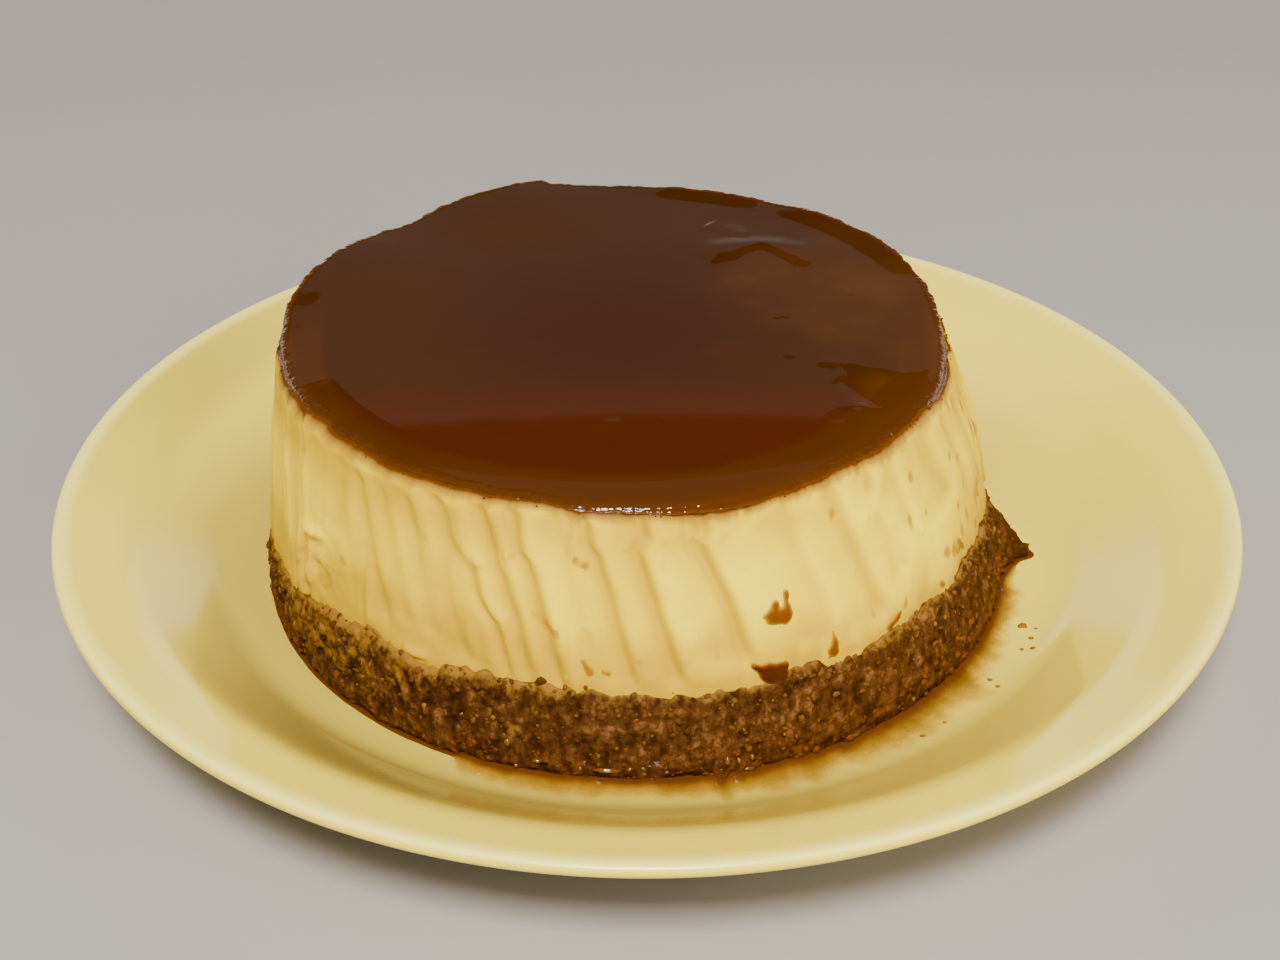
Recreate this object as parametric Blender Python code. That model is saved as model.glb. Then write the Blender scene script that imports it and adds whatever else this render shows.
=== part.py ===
"""A flan cake on its dinner plate.

From the plate up there is a brown sponge layer, a set custard whose side keeps
the folds of its lining paper, and a thin cap of set caramel. A little syrup has
run out round the foot. Metres, +Z up. The origin is on the table under the
plate's centre, and the cake is seen from -Y.
"""

import math
import random

import bmesh
import bpy
import numpy as np

MM = 0.001
GAP = 0.3 * MM  # between two pieces that touch
SHARP_FROM = math.radians(50)  # an edge this steep isn't shaded smooth
FOLD_SEED, JOIN_SEED, EDGE_SEED, CRUMB_SEED = 11, 3, 5, 17

# The plate's section, along its radius
PLATE_RADIUS = 135 * MM
PLATE_HEIGHT = 28.2 * MM
FLOOR_RADIUS = 91.5 * MM  # of the flat floor, where the well begins
FLOOR_HEIGHT = 8 * MM
WALL_SLOPE = math.radians(35)  # where the well rises
RIM_SLOPE = math.radians(18)
WELL_CURVE = 18 * MM  # radius of the bend from floor to wall
RIM_CURVE = 24 * MM  # radius of the bend from wall to rim
PLATE_THICKNESS = 4.6 * MM
LIP_RADIUS = 1.5 * MM
FOOT_INNER, FOOT_OUTER = 75.2 * MM, 79.4 * MM
FOOT_DRAFT = 1.4 * MM  # how far each side of the foot ring slopes
PLATE_SEGMENTS = 72
WELL_STEPS, SHOULDER_STEPS, LIP_STEPS = 4, 3, 5  # points along each arc of the section
UNDERSIDE_POINTS = (1, 3, 4, 6)  # which points of the upper face the underside follows

# The cake leans a little: centre and radius of its outline at three heights
BASE_CENTRE, BASE_RADIUS = (-2.2 * MM, -4.2 * MM), 85.2 * MM
JOIN_CENTRE, JOIN_RADIUS = (-3.9 * MM, -3.5 * MM), 82.0 * MM
TOP_CENTRE, TOP_RADIUS = (-6.4 * MM, -1.6 * MM), 75.4 * MM
BASE_HEIGHT = FLOOR_HEIGHT + GAP
JOIN_HEIGHT = 27.8 * MM
CARAMEL_EDGE = 62.2 * MM  # height of the caramel's lower edge
CAKE_HEIGHT = 66.0 * MM

# The join of custard and sponge wanders up and down: waves round the cake, and their height
JOIN_WAVES = ((5, 0.35 * MM), (11, 0.45 * MM), (19, 0.55 * MM), (27, 0.35 * MM))
JOIN_LOBE_BEARING, JOIN_LOBE_WIDTH = math.radians(-149), math.radians(5)
JOIN_LOBE_DROP = 2.6 * MM
JOIN_RINGS = (0.60, 0.95)  # shares of the join's radius
JOIN_CALM = 3  # power by which the waves die away towards the middle

# Folds of the lining paper in the custard's side, by their bearing at mid height
SEEN_FOLDS = (-138, -131, -122, -116, -108.5, -103, -97, -91, -85, -75.5, -67.5, -61, -52, -45.5, -39, -30)
FOLD_SPACING = (5.5, 10.5)  # degrees, where the folds aren't seen
FOLD_DEPTH = (0.7 * MM, 1.3 * MM)
FOLD_LEAN = math.radians(0.17) / MM  # turn for each metre down
FOLD_END = 0.75  # share of the side's height from which the folds run out under the caramel
FOLD_SECTION = ((0.0, -1.0), (0.2, 0.4), (0.6, 0.15))  # share of the way to the next fold, relief
SIDE_SHARES = (0, 0.05, 0.18, 0.36, 0.54, 0.72, 0.88, 1)
MIDDLE_HEIGHT = 45 * MM
SIDE_BULGE = 0.5 * MM

# The caramel cap's section: share of the top's radius, and height below the cake's top
CAP_THICKNESS = 2.3 * MM
CAP_TOP = ((0.55, 0.1 * MM), (0.86, 0.35 * MM), (0.95, 0.9 * MM), (0.985, 1.9 * MM))
CAP_SEAT = ((0.965, None), (0.93, 1.5 * MM), (0.55, 0.3 * MM))  # None: at the cap's lower edge
EDGE_WAVES = ((9, 0.16 * MM), (23, 0.22 * MM), (31, 0.18 * MM))

# Sponge: rows down its side, as share of its height and how far they stand out
CRUMB_ROWS = ((0, 0.6 * MM), (0.07, 1.1 * MM), (0.26, 1.2 * MM), (0.45, 1.1 * MM),
              (0.64, 1.0 * MM), (0.8, 0.7 * MM), (0.91, 0.3 * MM), (1, -0.6 * MM))
CRUMB_RELIEF = 0.55 * MM
CLUMP_BEARING, CLUMP_WIDTH, CLUMP_REACH = math.radians(-1), math.radians(4.5), 5.5 * MM
CLUMP_TOP = 0.25  # share of the sponge's height above which the clump fades out

# Syrup round the foot: its width, and where it has run further out
SYRUP_START = 0.9 * MM  # stands off the base radius, clear of the crumb
SYRUP_WIDTH = 1.0 * MM
SYRUP_RUNS = ((-100, 34, 0.9 * MM), (-46, 26, 4.4 * MM), (-1, 5, 2.2 * MM), (150, 30, 1.5 * MM))
SYRUP_SECTION = ((0, 0), (0.8, 0), (1, 0.3 * MM), (0.6, 0.8 * MM), (0.2, 1.0 * MM), (0, 1.4 * MM))


def clear_scene():
    for thing in list(bpy.data.objects):
        bpy.data.objects.remove(thing, do_unlink=True)


def finish(name, colour, roughness, coat=0.0):
    """A Principled material of one colour, given as linear red, green and blue."""
    material = bpy.data.materials.new(name)
    material.use_nodes = True
    shader = material.node_tree.nodes["Principled BSDF"]
    shader.inputs["Base Color"].default_value = (*colour, 1.0)
    shader.inputs["Roughness"].default_value = roughness
    shader.inputs["Metallic"].default_value = 0.0
    shader.inputs["Coat Weight"].default_value = coat
    return material


def bridge(bm, low, high):
    """Triangles between two rows of vertices; a row of one vertex is a pole."""
    count = max(len(low), len(high))
    for i in range(count):
        j = (i + 1) % count
        if len(low) == 1:
            bm.faces.new((low[0], high[j], high[i]))
        elif len(high) == 1:
            bm.faces.new((low[i], low[j], high[0]))
        elif (low[i].co - high[j].co).length < (low[j].co - high[i].co).length:
            bm.faces.new((low[i], low[j], high[j]))
            bm.faces.new((low[i], high[j], high[i]))
        else:
            bm.faces.new((low[i], low[j], high[i]))
            bm.faces.new((low[j], high[j], high[i]))


def loft(name, rings, material, round_and_back=False):
    """A closed body through rings of points, each ring anticlockwise seen from above.

    The rings run from the middle of the underside outwards, up and back to the
    middle of the top, or round_and_back, where the last one joins the first.
    """
    bm = bmesh.new()
    rows = [[bm.verts.new(point) for point in ring] for ring in rings]
    for low, high in zip(rows, rows[1:]):
        bridge(bm, low, high)
    if round_and_back:
        bridge(bm, rows[-1], rows[0])
    mesh = bpy.data.meshes.new(name)
    bm.to_mesh(mesh)
    bm.free()
    mesh.materials.append(material)
    mesh.shade_smooth()
    mesh.set_sharp_from_angle(angle=SHARP_FROM)
    body = bpy.data.objects.new(name, mesh)
    bpy.context.scene.collection.objects.link(body)
    return body


def ring(centre, bearings, radius, height):
    """Points round a centre; radius and height may be one value or one for each bearing."""
    points = np.empty((len(bearings), 3))
    points[:, 0] = centre[0] + radius * np.cos(bearings)
    points[:, 1] = centre[1] + radius * np.sin(bearings)
    points[:, 2] = height
    return points


def pole(centre, height):
    return np.array([[centre[0], centre[1], height]])


def bump(bearings, middle, width):
    """1 at the middle bearing, falling to 0 over about twice the width, as a bell curve."""
    away = (bearings - middle + math.pi) % (2 * math.pi) - math.pi
    return np.exp(-((away / width) ** 2))


def waves(bearings, table, seed):
    """Sum of sine waves round the cake, each with its own phase."""
    phase = random.Random(seed)
    return sum(size * np.sin(count * bearings + phase.uniform(0, math.tau)) for count, size in table)


# ---------------------------------------------------------------- plate

def arc(centre_r, centre_z, radius, start, end, steps):
    """Section points on an arc; angles are measured from straight down, towards the rim."""
    turns = np.linspace(start, end, steps)
    return [(centre_r + radius * math.sin(t), centre_z - radius * math.cos(t)) for t in turns]


def plate_upper_section():
    """(radius, height) from the floor's edge to the lip: a bend, a straight wall, a bend and the rim."""
    lip_r = PLATE_RADIUS - LIP_RADIUS - LIP_RADIUS * math.sin(RIM_SLOPE)
    lip_z = PLATE_HEIGHT - LIP_RADIUS + LIP_RADIUS * math.cos(RIM_SLOPE)
    wall_sin, wall_cos = math.sin(WALL_SLOPE), math.cos(WALL_SLOPE)
    rim_sin, rim_cos, rim_tan = math.sin(RIM_SLOPE), math.cos(RIM_SLOPE), math.tan(RIM_SLOPE)
    # What the two bends leave is shared by wall and rim, so that they meet the lip.
    left_r = lip_r - FLOOR_RADIUS - WELL_CURVE * wall_sin - RIM_CURVE * (wall_sin - rim_sin)
    left_z = lip_z - FLOOR_HEIGHT - WELL_CURVE * (1 - wall_cos) - RIM_CURVE * (rim_cos - wall_cos)
    wall = (left_z - left_r * rim_tan) / (wall_sin - wall_cos * rim_tan)
    well = arc(FLOOR_RADIUS, FLOOR_HEIGHT + WELL_CURVE, WELL_CURVE, 0, WALL_SLOPE, WELL_STEPS)
    bend_r = well[-1][0] + wall * wall_cos + RIM_CURVE * wall_sin
    bend_z = well[-1][1] + wall * wall_sin - RIM_CURVE * wall_cos
    shoulder = arc(bend_r, bend_z, -RIM_CURVE, WALL_SLOPE, RIM_SLOPE, SHOULDER_STEPS)
    return well + shoulder + [(lip_r, lip_z)]


def plate_section():
    """(radius, height) points from the middle of the underside round to the middle of the floor."""
    upper = plate_upper_section()
    under_floor = FLOOR_HEIGHT - PLATE_THICKNESS
    foot = [
        (FOOT_INNER - FOOT_DRAFT, under_floor),
        (FOOT_INNER, 0.0),
        (FOOT_OUTER, 0.0),
        (FOOT_OUTER + FOOT_DRAFT, under_floor),
    ]
    # The underside follows the upper face, thinning from the well to the lip.
    underside = []
    for k in UNDERSIDE_POINTS:
        (r0, z0), (r1, z1) = upper[k - 1], upper[k + 1]
        slope = math.atan2(z1 - z0, r1 - r0)
        share = (upper[k][0] - FLOOR_RADIUS) / (PLATE_RADIUS - FLOOR_RADIUS)
        depth = PLATE_THICKNESS + (2 * LIP_RADIUS - PLATE_THICKNESS) * share
        underside.append((upper[k][0] + depth * math.sin(slope), upper[k][1] - depth * math.cos(slope)))
    lip_r, lip_z = PLATE_RADIUS - LIP_RADIUS, PLATE_HEIGHT - LIP_RADIUS
    lip = arc(lip_r, lip_z, LIP_RADIUS, RIM_SLOPE, math.pi + RIM_SLOPE, LIP_STEPS)[:-1]
    return foot + underside + lip + upper[::-1]


def make_plate():
    bearings = np.arange(PLATE_SEGMENTS) * math.tau / PLATE_SEGMENTS
    centre = (0.0, 0.0)
    rings = [pole(centre, FLOOR_HEIGHT - PLATE_THICKNESS)]
    rings += [ring(centre, bearings, r, z) for r, z in plate_section()]
    rings.append(pole(centre, FLOOR_HEIGHT))
    return loft("plate", rings, finish("cream_glaze", (0.80, 0.66, 0.38), 0.12, 0.5))


# ---------------------------------------------------------------- cake

def axis(height):
    """The cake's centre at a height: it leans along two straight stretches."""
    heights = (BASE_HEIGHT, JOIN_HEIGHT, CARAMEL_EDGE)
    points = (BASE_CENTRE, JOIN_CENTRE, TOP_CENTRE)
    return tuple(np.interp(height, heights, [point[k] for point in points]) for k in (0, 1))


def folds():
    """(bearing, width, depth) of each fold: the ones that are seen, then drawn ones round the back."""
    draw = random.Random(FOLD_SEED)
    bearings = list(SEEN_FOLDS)
    while bearings[-1] < SEEN_FOLDS[0] + 360 - FOLD_SPACING[1]:
        bearings.append(bearings[-1] + draw.uniform(*FOLD_SPACING))
    found = []
    for here, following in zip(bearings, bearings[1:] + [SEEN_FOLDS[0] + 360]):
        found.append((math.radians(here), math.radians(following - here), draw.uniform(*FOLD_DEPTH)))
    return found


def fold_columns():
    """Bearings at mid height of all columns of points round the cake, and the relief of each."""
    columns = [
        (bearing + share * width, relief * depth)
        for bearing, width, depth in folds()
        for share, relief in FOLD_SECTION
    ]
    return np.array(columns).T


def turned(bearings, height):
    """Where the leaning columns stand at a height."""
    return bearings + FOLD_LEAN * (MIDDLE_HEIGHT - height)


def join_height(bearings):
    lobe = JOIN_LOBE_DROP * bump(bearings, JOIN_LOBE_BEARING, JOIN_LOBE_WIDTH)
    return JOIN_HEIGHT + waves(bearings, JOIN_WAVES, JOIN_SEED) - lobe


def join_rings(bearings, drop):
    """Rings of the surface where custard and sponge meet, from the middle outwards."""
    rings = [pole(JOIN_CENTRE, JOIN_HEIGHT - drop)]
    for share in JOIN_RINGS:
        wave = (join_height(bearings) - JOIN_HEIGHT) * (share / JOIN_RINGS[-1]) ** JOIN_CALM
        rings.append(ring(JOIN_CENTRE, bearings, share * JOIN_RADIUS, JOIN_HEIGHT + wave - drop))
    return rings


def cap_edge(bearings):
    return CARAMEL_EDGE + waves(bearings, EDGE_WAVES, EDGE_SEED)


def cap_seat(bearings, drop):
    """Rings under the caramel cap, from its lower edge to the middle."""
    rings = []
    for share, below in CAP_SEAT:
        height = cap_edge(bearings) if below is None else CAKE_HEIGHT - CAP_THICKNESS - below
        rings.append(ring(TOP_CENTRE, bearings, share * TOP_RADIUS, height - drop))
    rings.append(pole(TOP_CENTRE, CAKE_HEIGHT - CAP_THICKNESS - drop))
    return rings


def make_custard(columns, relief):
    bottom = join_rings(turned(columns, JOIN_HEIGHT), 0.0)
    side = []
    edge = join_height(turned(columns, JOIN_HEIGHT))
    for share in SIDE_SHARES:
        level = JOIN_HEIGHT + share * (CARAMEL_EDGE - GAP - JOIN_HEIGHT)
        bearings = turned(columns, level)
        height = edge + share * (cap_edge(bearings) - GAP - edge)
        radius = JOIN_RADIUS + share * (TOP_RADIUS - JOIN_RADIUS) + SIDE_BULGE * math.sin(math.pi * share)
        fade = min(1.0, (1 - share) / (1 - FOLD_END))
        side.append(ring(axis(level), bearings, radius + fade * relief, height))
    seat = cap_seat(turned(columns, CARAMEL_EDGE), GAP)
    return loft("custard", bottom + side + seat, finish("custard", (0.83, 0.64, 0.24), 0.35, 0.2))


def make_caramel(columns):
    bearings = turned(columns, CARAMEL_EDGE)
    seat = cap_seat(bearings, 0.0)[::-1]
    edge = [ring(TOP_CENTRE, bearings, TOP_RADIUS, cap_edge(bearings))]
    top = [ring(TOP_CENTRE, bearings, share * TOP_RADIUS, CAKE_HEIGHT - below)
           for share, below in CAP_TOP[::-1]]
    rings = seat + edge + top + [pole(TOP_CENTRE, CAKE_HEIGHT)]
    return loft("caramel_top", rings, finish("caramel", (0.09, 0.03, 0.008), 0.15, 0.6))


def clump(bearings):
    """How far the clump of wet crumb stands out at the plate."""
    return CLUMP_REACH * bump(bearings, CLUMP_BEARING, CLUMP_WIDTH)


def make_sponge(columns, relief):
    bearings = turned(columns, JOIN_HEIGHT)
    draw = random.Random(CRUMB_SEED)
    top_height = join_height(bearings) - GAP
    side = []
    for share, out in CRUMB_ROWS[::-1]:
        height = top_height + share * (BASE_HEIGHT - top_height)
        radius = JOIN_RADIUS + share * (BASE_RADIUS - JOIN_RADIUS) + out + (1 - share) * relief
        radius = radius + clump(bearings) * max(0.0, share - CLUMP_TOP) / (1 - CLUMP_TOP)
        if 0 < share < 1:
            radius = radius + [draw.uniform(-CRUMB_RELIEF, CRUMB_RELIEF) for _ in bearings]
        level = JOIN_HEIGHT + share * (BASE_HEIGHT - JOIN_HEIGHT)
        side.append(ring(axis(level), bearings, radius, height))
    bottom = [pole(BASE_CENTRE, BASE_HEIGHT)]
    top = join_rings(bearings, GAP)[::-1]
    return loft("sponge", bottom + side + top, finish("sponge", (0.17, 0.07, 0.02), 0.8))


def make_syrup(columns):
    bearings = turned(columns, JOIN_HEIGHT)
    start = BASE_RADIUS + SYRUP_START + clump(bearings)
    width = SYRUP_WIDTH + sum(
        reach * bump(bearings, math.radians(middle), math.radians(spread))
        for middle, spread, reach in SYRUP_RUNS)
    rings = [ring(BASE_CENTRE, bearings, start + share * width, BASE_HEIGHT + rise)
             for share, rise in SYRUP_SECTION]
    return loft("syrup_pool", rings, finish("syrup", (0.2, 0.07, 0.01), 0.08, 0.8), round_and_back=True)


def main():
    clear_scene()
    columns, relief = fold_columns()
    make_plate()
    make_sponge(columns, relief)
    make_custard(columns, relief)
    make_caramel(columns)
    make_syrup(columns)


main()
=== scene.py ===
import itertools
import math
import random

import bpy
import numpy as np
from mathutils import Matrix, Vector


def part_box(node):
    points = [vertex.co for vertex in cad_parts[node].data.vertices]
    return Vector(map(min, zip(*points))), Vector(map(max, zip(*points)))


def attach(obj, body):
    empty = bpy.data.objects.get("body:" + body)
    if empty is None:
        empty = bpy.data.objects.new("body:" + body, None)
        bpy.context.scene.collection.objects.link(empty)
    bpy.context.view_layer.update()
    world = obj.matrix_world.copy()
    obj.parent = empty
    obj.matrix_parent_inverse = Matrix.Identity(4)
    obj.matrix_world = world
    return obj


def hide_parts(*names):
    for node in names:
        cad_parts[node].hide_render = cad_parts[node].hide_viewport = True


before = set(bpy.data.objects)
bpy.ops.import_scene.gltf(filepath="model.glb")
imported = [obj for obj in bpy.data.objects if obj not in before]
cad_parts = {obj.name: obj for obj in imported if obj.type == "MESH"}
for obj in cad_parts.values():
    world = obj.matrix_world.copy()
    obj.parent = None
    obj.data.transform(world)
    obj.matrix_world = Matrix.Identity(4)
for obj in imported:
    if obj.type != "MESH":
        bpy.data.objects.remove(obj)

bl_info = {
    "name": "Flan Cake",
    "version": (1, 0, 0),
    "blender": (4, 5, 0),
    "location": "View3D > Sidebar > Flan",
    "description": "The surfaces of a flan cake on its dinner plate, built round the packed solids",
    "category": "Add Mesh",
}

MM = 0.001
TURN = 2 * math.pi
BODY = "root"
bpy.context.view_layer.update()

# The plate's section, as in the solids
PLATE_RADIUS = 135 * MM
PLATE_HEIGHT = 28.2 * MM
FLOOR_RADIUS, FLOOR_HEIGHT = 91.5 * MM, 8 * MM
WALL_SLOPE, RIM_SLOPE = math.radians(35), math.radians(18)
WELL_CURVE, RIM_CURVE = 18 * MM, 24 * MM
PLATE_THICKNESS, LIP_RADIUS = 4.6 * MM, 1.5 * MM
UNDER_HEIGHT = FLOOR_HEIGHT - PLATE_THICKNESS
FOOT_INNER, FOOT_OUTER, FOOT_DRAFT = 75.2 * MM, 79.4 * MM, 1.4 * MM

# The cake's axis and outline, as in the solids: base, join of sponge and custard, caramel's edge
BASE_CENTRE, BASE_RADIUS, BASE_HEIGHT = (-2.2 * MM, -4.2 * MM), 85.2 * MM, 8.3 * MM
JOIN_CENTRE, JOIN_RADIUS, JOIN_HEIGHT = (-3.9 * MM, -3.5 * MM), 82.0 * MM, 27.8 * MM
TOP_CENTRE, TOP_RADIUS, CARAMEL_EDGE = (-6.4 * MM, -1.6 * MM), 75.4 * MM, 62.2 * MM
CAKE_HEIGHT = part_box("caramel_top")[1].z
MIDDLE_HEIGHT = 45 * MM
SPONGE_HEIGHT = 20 * MM

# Folds of the lining paper, as in the solids, by bearing in degrees at mid height
SEEN_FOLDS = (-138, -131, -122, -116, -108.5, -103, -97, -91, -85, -75.5, -67.5, -61, -52, -45.5, -39, -30)
FOLD_SEED, FOLD_SPACING, FOLD_DEPTH = 11, (5.5, 10.5), (0.7 * MM, 1.3 * MM)
FOLD_LEAN = math.radians(0.17) / MM

# Creases of the seen side: depth and half width in millimetres, then heights and bearings along the line
SEEN_CREASES = (
    (0.50, 1.7, (46, -137.3), (54, -137.4), (62, -137.2)),
    (0.80, 1.5, (33, -127.0), (37, -127.8), (41.5, -129.0), (46.5, -130.0), (51.5, -131.0), (61, -133.2)),
    (0.65, 1.5, (35, -123.6), (39.5, -124.3), (44, -125.0), (51.5, -126.5), (56, -127.5), (61, -128.5)),
    (0.80, 1.5, (34, -118.6), (39.5, -119.3), (44, -120.0), (48.5, -120.8), (52.5, -121.3), (61, -123.8)),
    (0.95, 1.5, (30, -113.2), (35, -114.3), (39, -115.0), (46.5, -116.1), (49, -115.9), (52, -115.2),
     (55, -115.8), (57.5, -116.3), (63, -118.0)),
    (0.62, 1.5, (29, -110.2), (37, -111.3), (41, -112.0), (45, -112.5), (49, -113.0), (54, -114.8)),
    (1.05, 1.1, (29, -103.9), (37.5, -105.0), (42, -105.5), (45, -106.3), (48, -106.8), (51, -107.8),
     (54.5, -108.5), (58, -109.3), (63, -110.6)),
    (0.85, 0.8, (29, -106.6), (34, -107.5), (37, -108.0), (39.5, -108.5), (42, -109.8), (44.5, -110.8),
     (51, -111.6)),
    (1.05, 1.0, (29, -99.2), (34, -100.0), (37.5, -100.5), (41.5, -101.2), (46, -101.9), (50, -102.5),
     (53, -103.3), (55, -104.3), (58, -104.6), (64, -104.9)),
    (0.35, 1.0, (36, -95.6), (41.5, -96.2), (46.5, -96.8), (51, -97.7), (56, -98.0), (63, -98.5)),
    (0.60, 0.6, (56.5, -97.6), (59, -96.6), (65, -96.3)),
    (1.15, 1.0, (29, -89.1), (35.5, -90.0), (39.5, -90.5), (43.5, -91.0), (47.5, -91.5), (51.5, -92.3),
     (55, -93.0), (57.5, -94.0), (64, -94.6)),
    (1.20, 1.0, (29, -82.7), (34, -83.5), (38, -84.0), (42.5, -84.8), (46.5, -85.3), (50, -86.0),
     (53.5, -86.6), (56, -87.0), (58.5, -85.6), (64, -86.4)),
    (0.45, 0.7, (54, -80.0), (57, -80.5), (65, -80.8)),
    (1.20, 1.0, (32, -72.8), (37, -73.5), (40.5, -74.0), (44, -74.5), (47, -75.3), (50.5, -76.3),
     (54, -77.3), (57, -78.0), (58.5, -76.8), (65, -76.8)),
    (0.90, 1.0, (59, -70.8), (61, -70.5), (66, -70.1)),
    (0.55, 1.3, (33, -59.7), (38, -60.0), (42, -60.5), (46, -61.5), (50, -62.5), (54, -63.5), (61, -64.3)),
    (0.80, 0.8, (60.5, -58.8), (66, -58.7)),
    (0.95, 1.2, (32, -49.8), (37, -50.5), (41, -51.3), (45, -52.2), (49, -53.2), (52.5, -54.2), (56, -54.8),
     (62, -56.0)),
    (0.50, 0.8, (58, -49.4), (62, -50.6)),
    (0.90, 0.9, (56.5, -47.7), (61, -47.6), (66, -47.6)),
    (0.45, 1.4, (37, -45.0), (41, -45.5), (46, -46.0), (52, -47.3)),
    (0.50, 1.2, (46, -40.4), (52, -41.2), (56, -41.8), (63, -42.5)),
    (0.35, 1.2, (38, -43.8), (47, -44.8)),
    (0.90, 2.0, (44, -27.6), (48, -29.0), (51.5, -30.7), (55.5, -31.7), (62, -33.2)),
    (0.55, 1.4, (38, -19.5), (46, -21.5), (52, -22.5), (60, -24.5)),
    (0.50, 1.2, (34, -11.0), (44, -13.0), (58, -15.5)),
)

# Flaps and ridges of torn custard: bearing (degrees), height, half width, half height, how far out (mm)
FLAPS = (
    (-146.6, 27.5, 2.2, 4.0, 1.5), (-143.6, 42.4, 3.4, 1.3, 1.3), (-148.3, 36.0, 1.3, 4.6, 1.1),
    (-144.2, 33.5, 1.5, 3.4, 1.0), (-141.4, 38.0, 2.2, 2.0, 0.5), (-130.4, 36.5, 1.1, 7.5, 0.5),
    (-147.5, 31.0, 2.5, 2.5, 0.8), (-83.6, 54.6, 0.9, 1.2, 0.4), (-106.6, 39.6, 0.9, 1.8, 0.5),
    (-110.3, 51.6, 0.9, 0.9, 0.8), (-106.0, 54.5, 0.5, 1.5, 0.6), (-121.0, 28.6, 2.6, 0.8, 1.0),
    (-77.9, 57.4, 0.7, 0.5, 0.5), (-106.5, 40.9, 0.5, 0.8, 0.6), (-94.6, 41.1, 1.3, 0.9, 0.3),
    (-50.2, 53.2, 0.5, 0.8, 0.4), (-53.5, 43.5, 0.4, 1.0, 0.4), (-98.4, 30.2, 0.5, 0.5, 0.6),
)

# Where custard and sponge meet: bearing in degrees and height in millimetres, round the seen side
SEEN_JOIN = (
    (-180, 22.0), (-175, 20.5), (-170, 21.5), (-166, 23.5), (-163, 25.4), (-156, 25.4), (-151.5, 23.6),
    (-147, 25.9), (-142, 27.3), (-134, 28.4), (-128, 29.9), (-124, 27.9), (-120, 27.2), (-113, 28.2),
    (-104, 28.3), (-92, 27.7), (-84, 26.6), (-73, 27.1), (-65, 28.4), (-56, 25.9), (-52, 27.4),
    (-46, 27.7), (-39, 28.6), (-33, 26.8), (-28, 29.4), (-22, 29.0), (-12, 28.2), (-4, 26.4), (4, 24.4),
    (16, 24.4), (26, 27.0),
)
HIDDEN_JOIN = ((5, 0.35 * MM), (11, 0.45 * MM), (19, 0.55 * MM), (27, 0.35 * MM))

# Outer edge of the syrup: bearing in degrees and distance from the base's centre in millimetres
SYRUP_EDGE = (
    (-180, 84.6), (-118, 84.8), (-112, 86.6), (-100, 86.6), (-89, 87.0), (-78, 88.0), (-70, 89.0),
    (-60, 89.2), (-51, 89.6), (-43, 91.4), (-38, 91.2), (-30, 88.6), (-16, 86.6), (-9, 86.0), (-2, 85.6),
    (5, 85.4), (40, 86.0), (100, 86.4), (125, 86.6), (150, 86.2), (160, 84.6),
)

# Beads of syrup at the sponge's foot: bearing (degrees), height, half width and half height (mm)
FOOT_BEADS = (
    (-103.2, 12.0, 1.2, 0.45), (-93.8, 11.3, 2.9, 0.55), (-90.6, 11.6, 0.6, 0.5), (-94.6, 14.6, 0.5, 0.45),
    (-77.5, 12.6, 0.7, 1.1), (-75.8, 11.7, 0.6, 0.8), (-74.4, 9.0, 1.5, 0.5), (-73.9, 12.0, 0.6, 0.8),
    (-69.0, 15.5, 0.5, 0.5), (-67.4, 14.5, 0.5, 0.6), (-75.7, 24.0, 0.5, 0.5), (-85.7, 10.4, 0.5, 0.5),
    (-97.2, 11.3, 0.45, 0.6), (-106.3, 9.6, 0.5, 0.5), (-107.0, 15.6, 0.8, 0.8), (-113.8, 18.8, 0.5, 0.5),
    (-47.0, 11.0, 0.5, 0.6), (-58.0, 9.4, 1.4, 0.4),
)

# The caramel's edge: bearing in degrees, then millimetres that its top rises to it, that its last few
# millimetres are turned up, and that it reaches out
CAP_RIM = (
    (-180, 0.0, 0.2, 0.0), (172, 0.1, 0.1, 1.0), (161, 0.6, 0.0, 1.6), (151, 0.7, 0.0, 1.8),
    (141, 0.3, 0.0, 0.8), (136, 0.0, 0.0, -0.6), (132, 0.0, 0.0, -0.3), (130, 0.2, 0.0, 1.0),
    (125, 0.7, 0.0, 2.2), (116, 1.3, 0.0, 3.0), (108, 1.7, 0.0, 4.4), (105.5, 1.7, 0.0, 4.6),
    (103, 1.0, 0.0, 1.8), (94, 0.5, 0.0, 0.2), (85, 0.3, 0.2, 0.0), (78, 0.1, 0.7, 0.0),
    (68, 0.0, 0.7, 0.0), (60, 0.0, 0.3, 0.3), (50, 0.0, 0.9, 0.8), (35, 0.0, 1.1, 0.4),
    (27, 0.0, 0.9, -0.2), (18, 0.0, 0.2, -0.8), (8, 0.0, 0.0, -1.9), (0, 0.0, 0.0, -2.3),
    (-10, 0.0, 0.0, -1.8), (-20, 0.0, 0.0, -0.9), (-30, 0.0, 0.0, -0.2), (-90, 0.0, 0.0, 0.0),
)

# How far up the cake's rounded shoulder the caramel ends, by bearing in degrees, in millimetres
SHOULDER = (
    (-180, 0.8), (-165, 1.6), (-150, 2.3), (-140, 2.5), (-130, 2.2), (-115, 2.3), (-105, 2.3), (-95, 1.8),
    (-90, 1.5), (-85, 1.1), (-80, 1.0), (-75, 0.6), (-70, 0.6), (-65, 1.0), (-60, 1.3), (-50, 1.7),
    (-40, 1.6), (-30, 1.9), (-26, 1.3), (-22, 0.5), (-15, 0.6), (0, 0.5), (20, 0.3), (40, 0.0),
    (150, 0.0), (170, 0.4),
)

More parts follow.
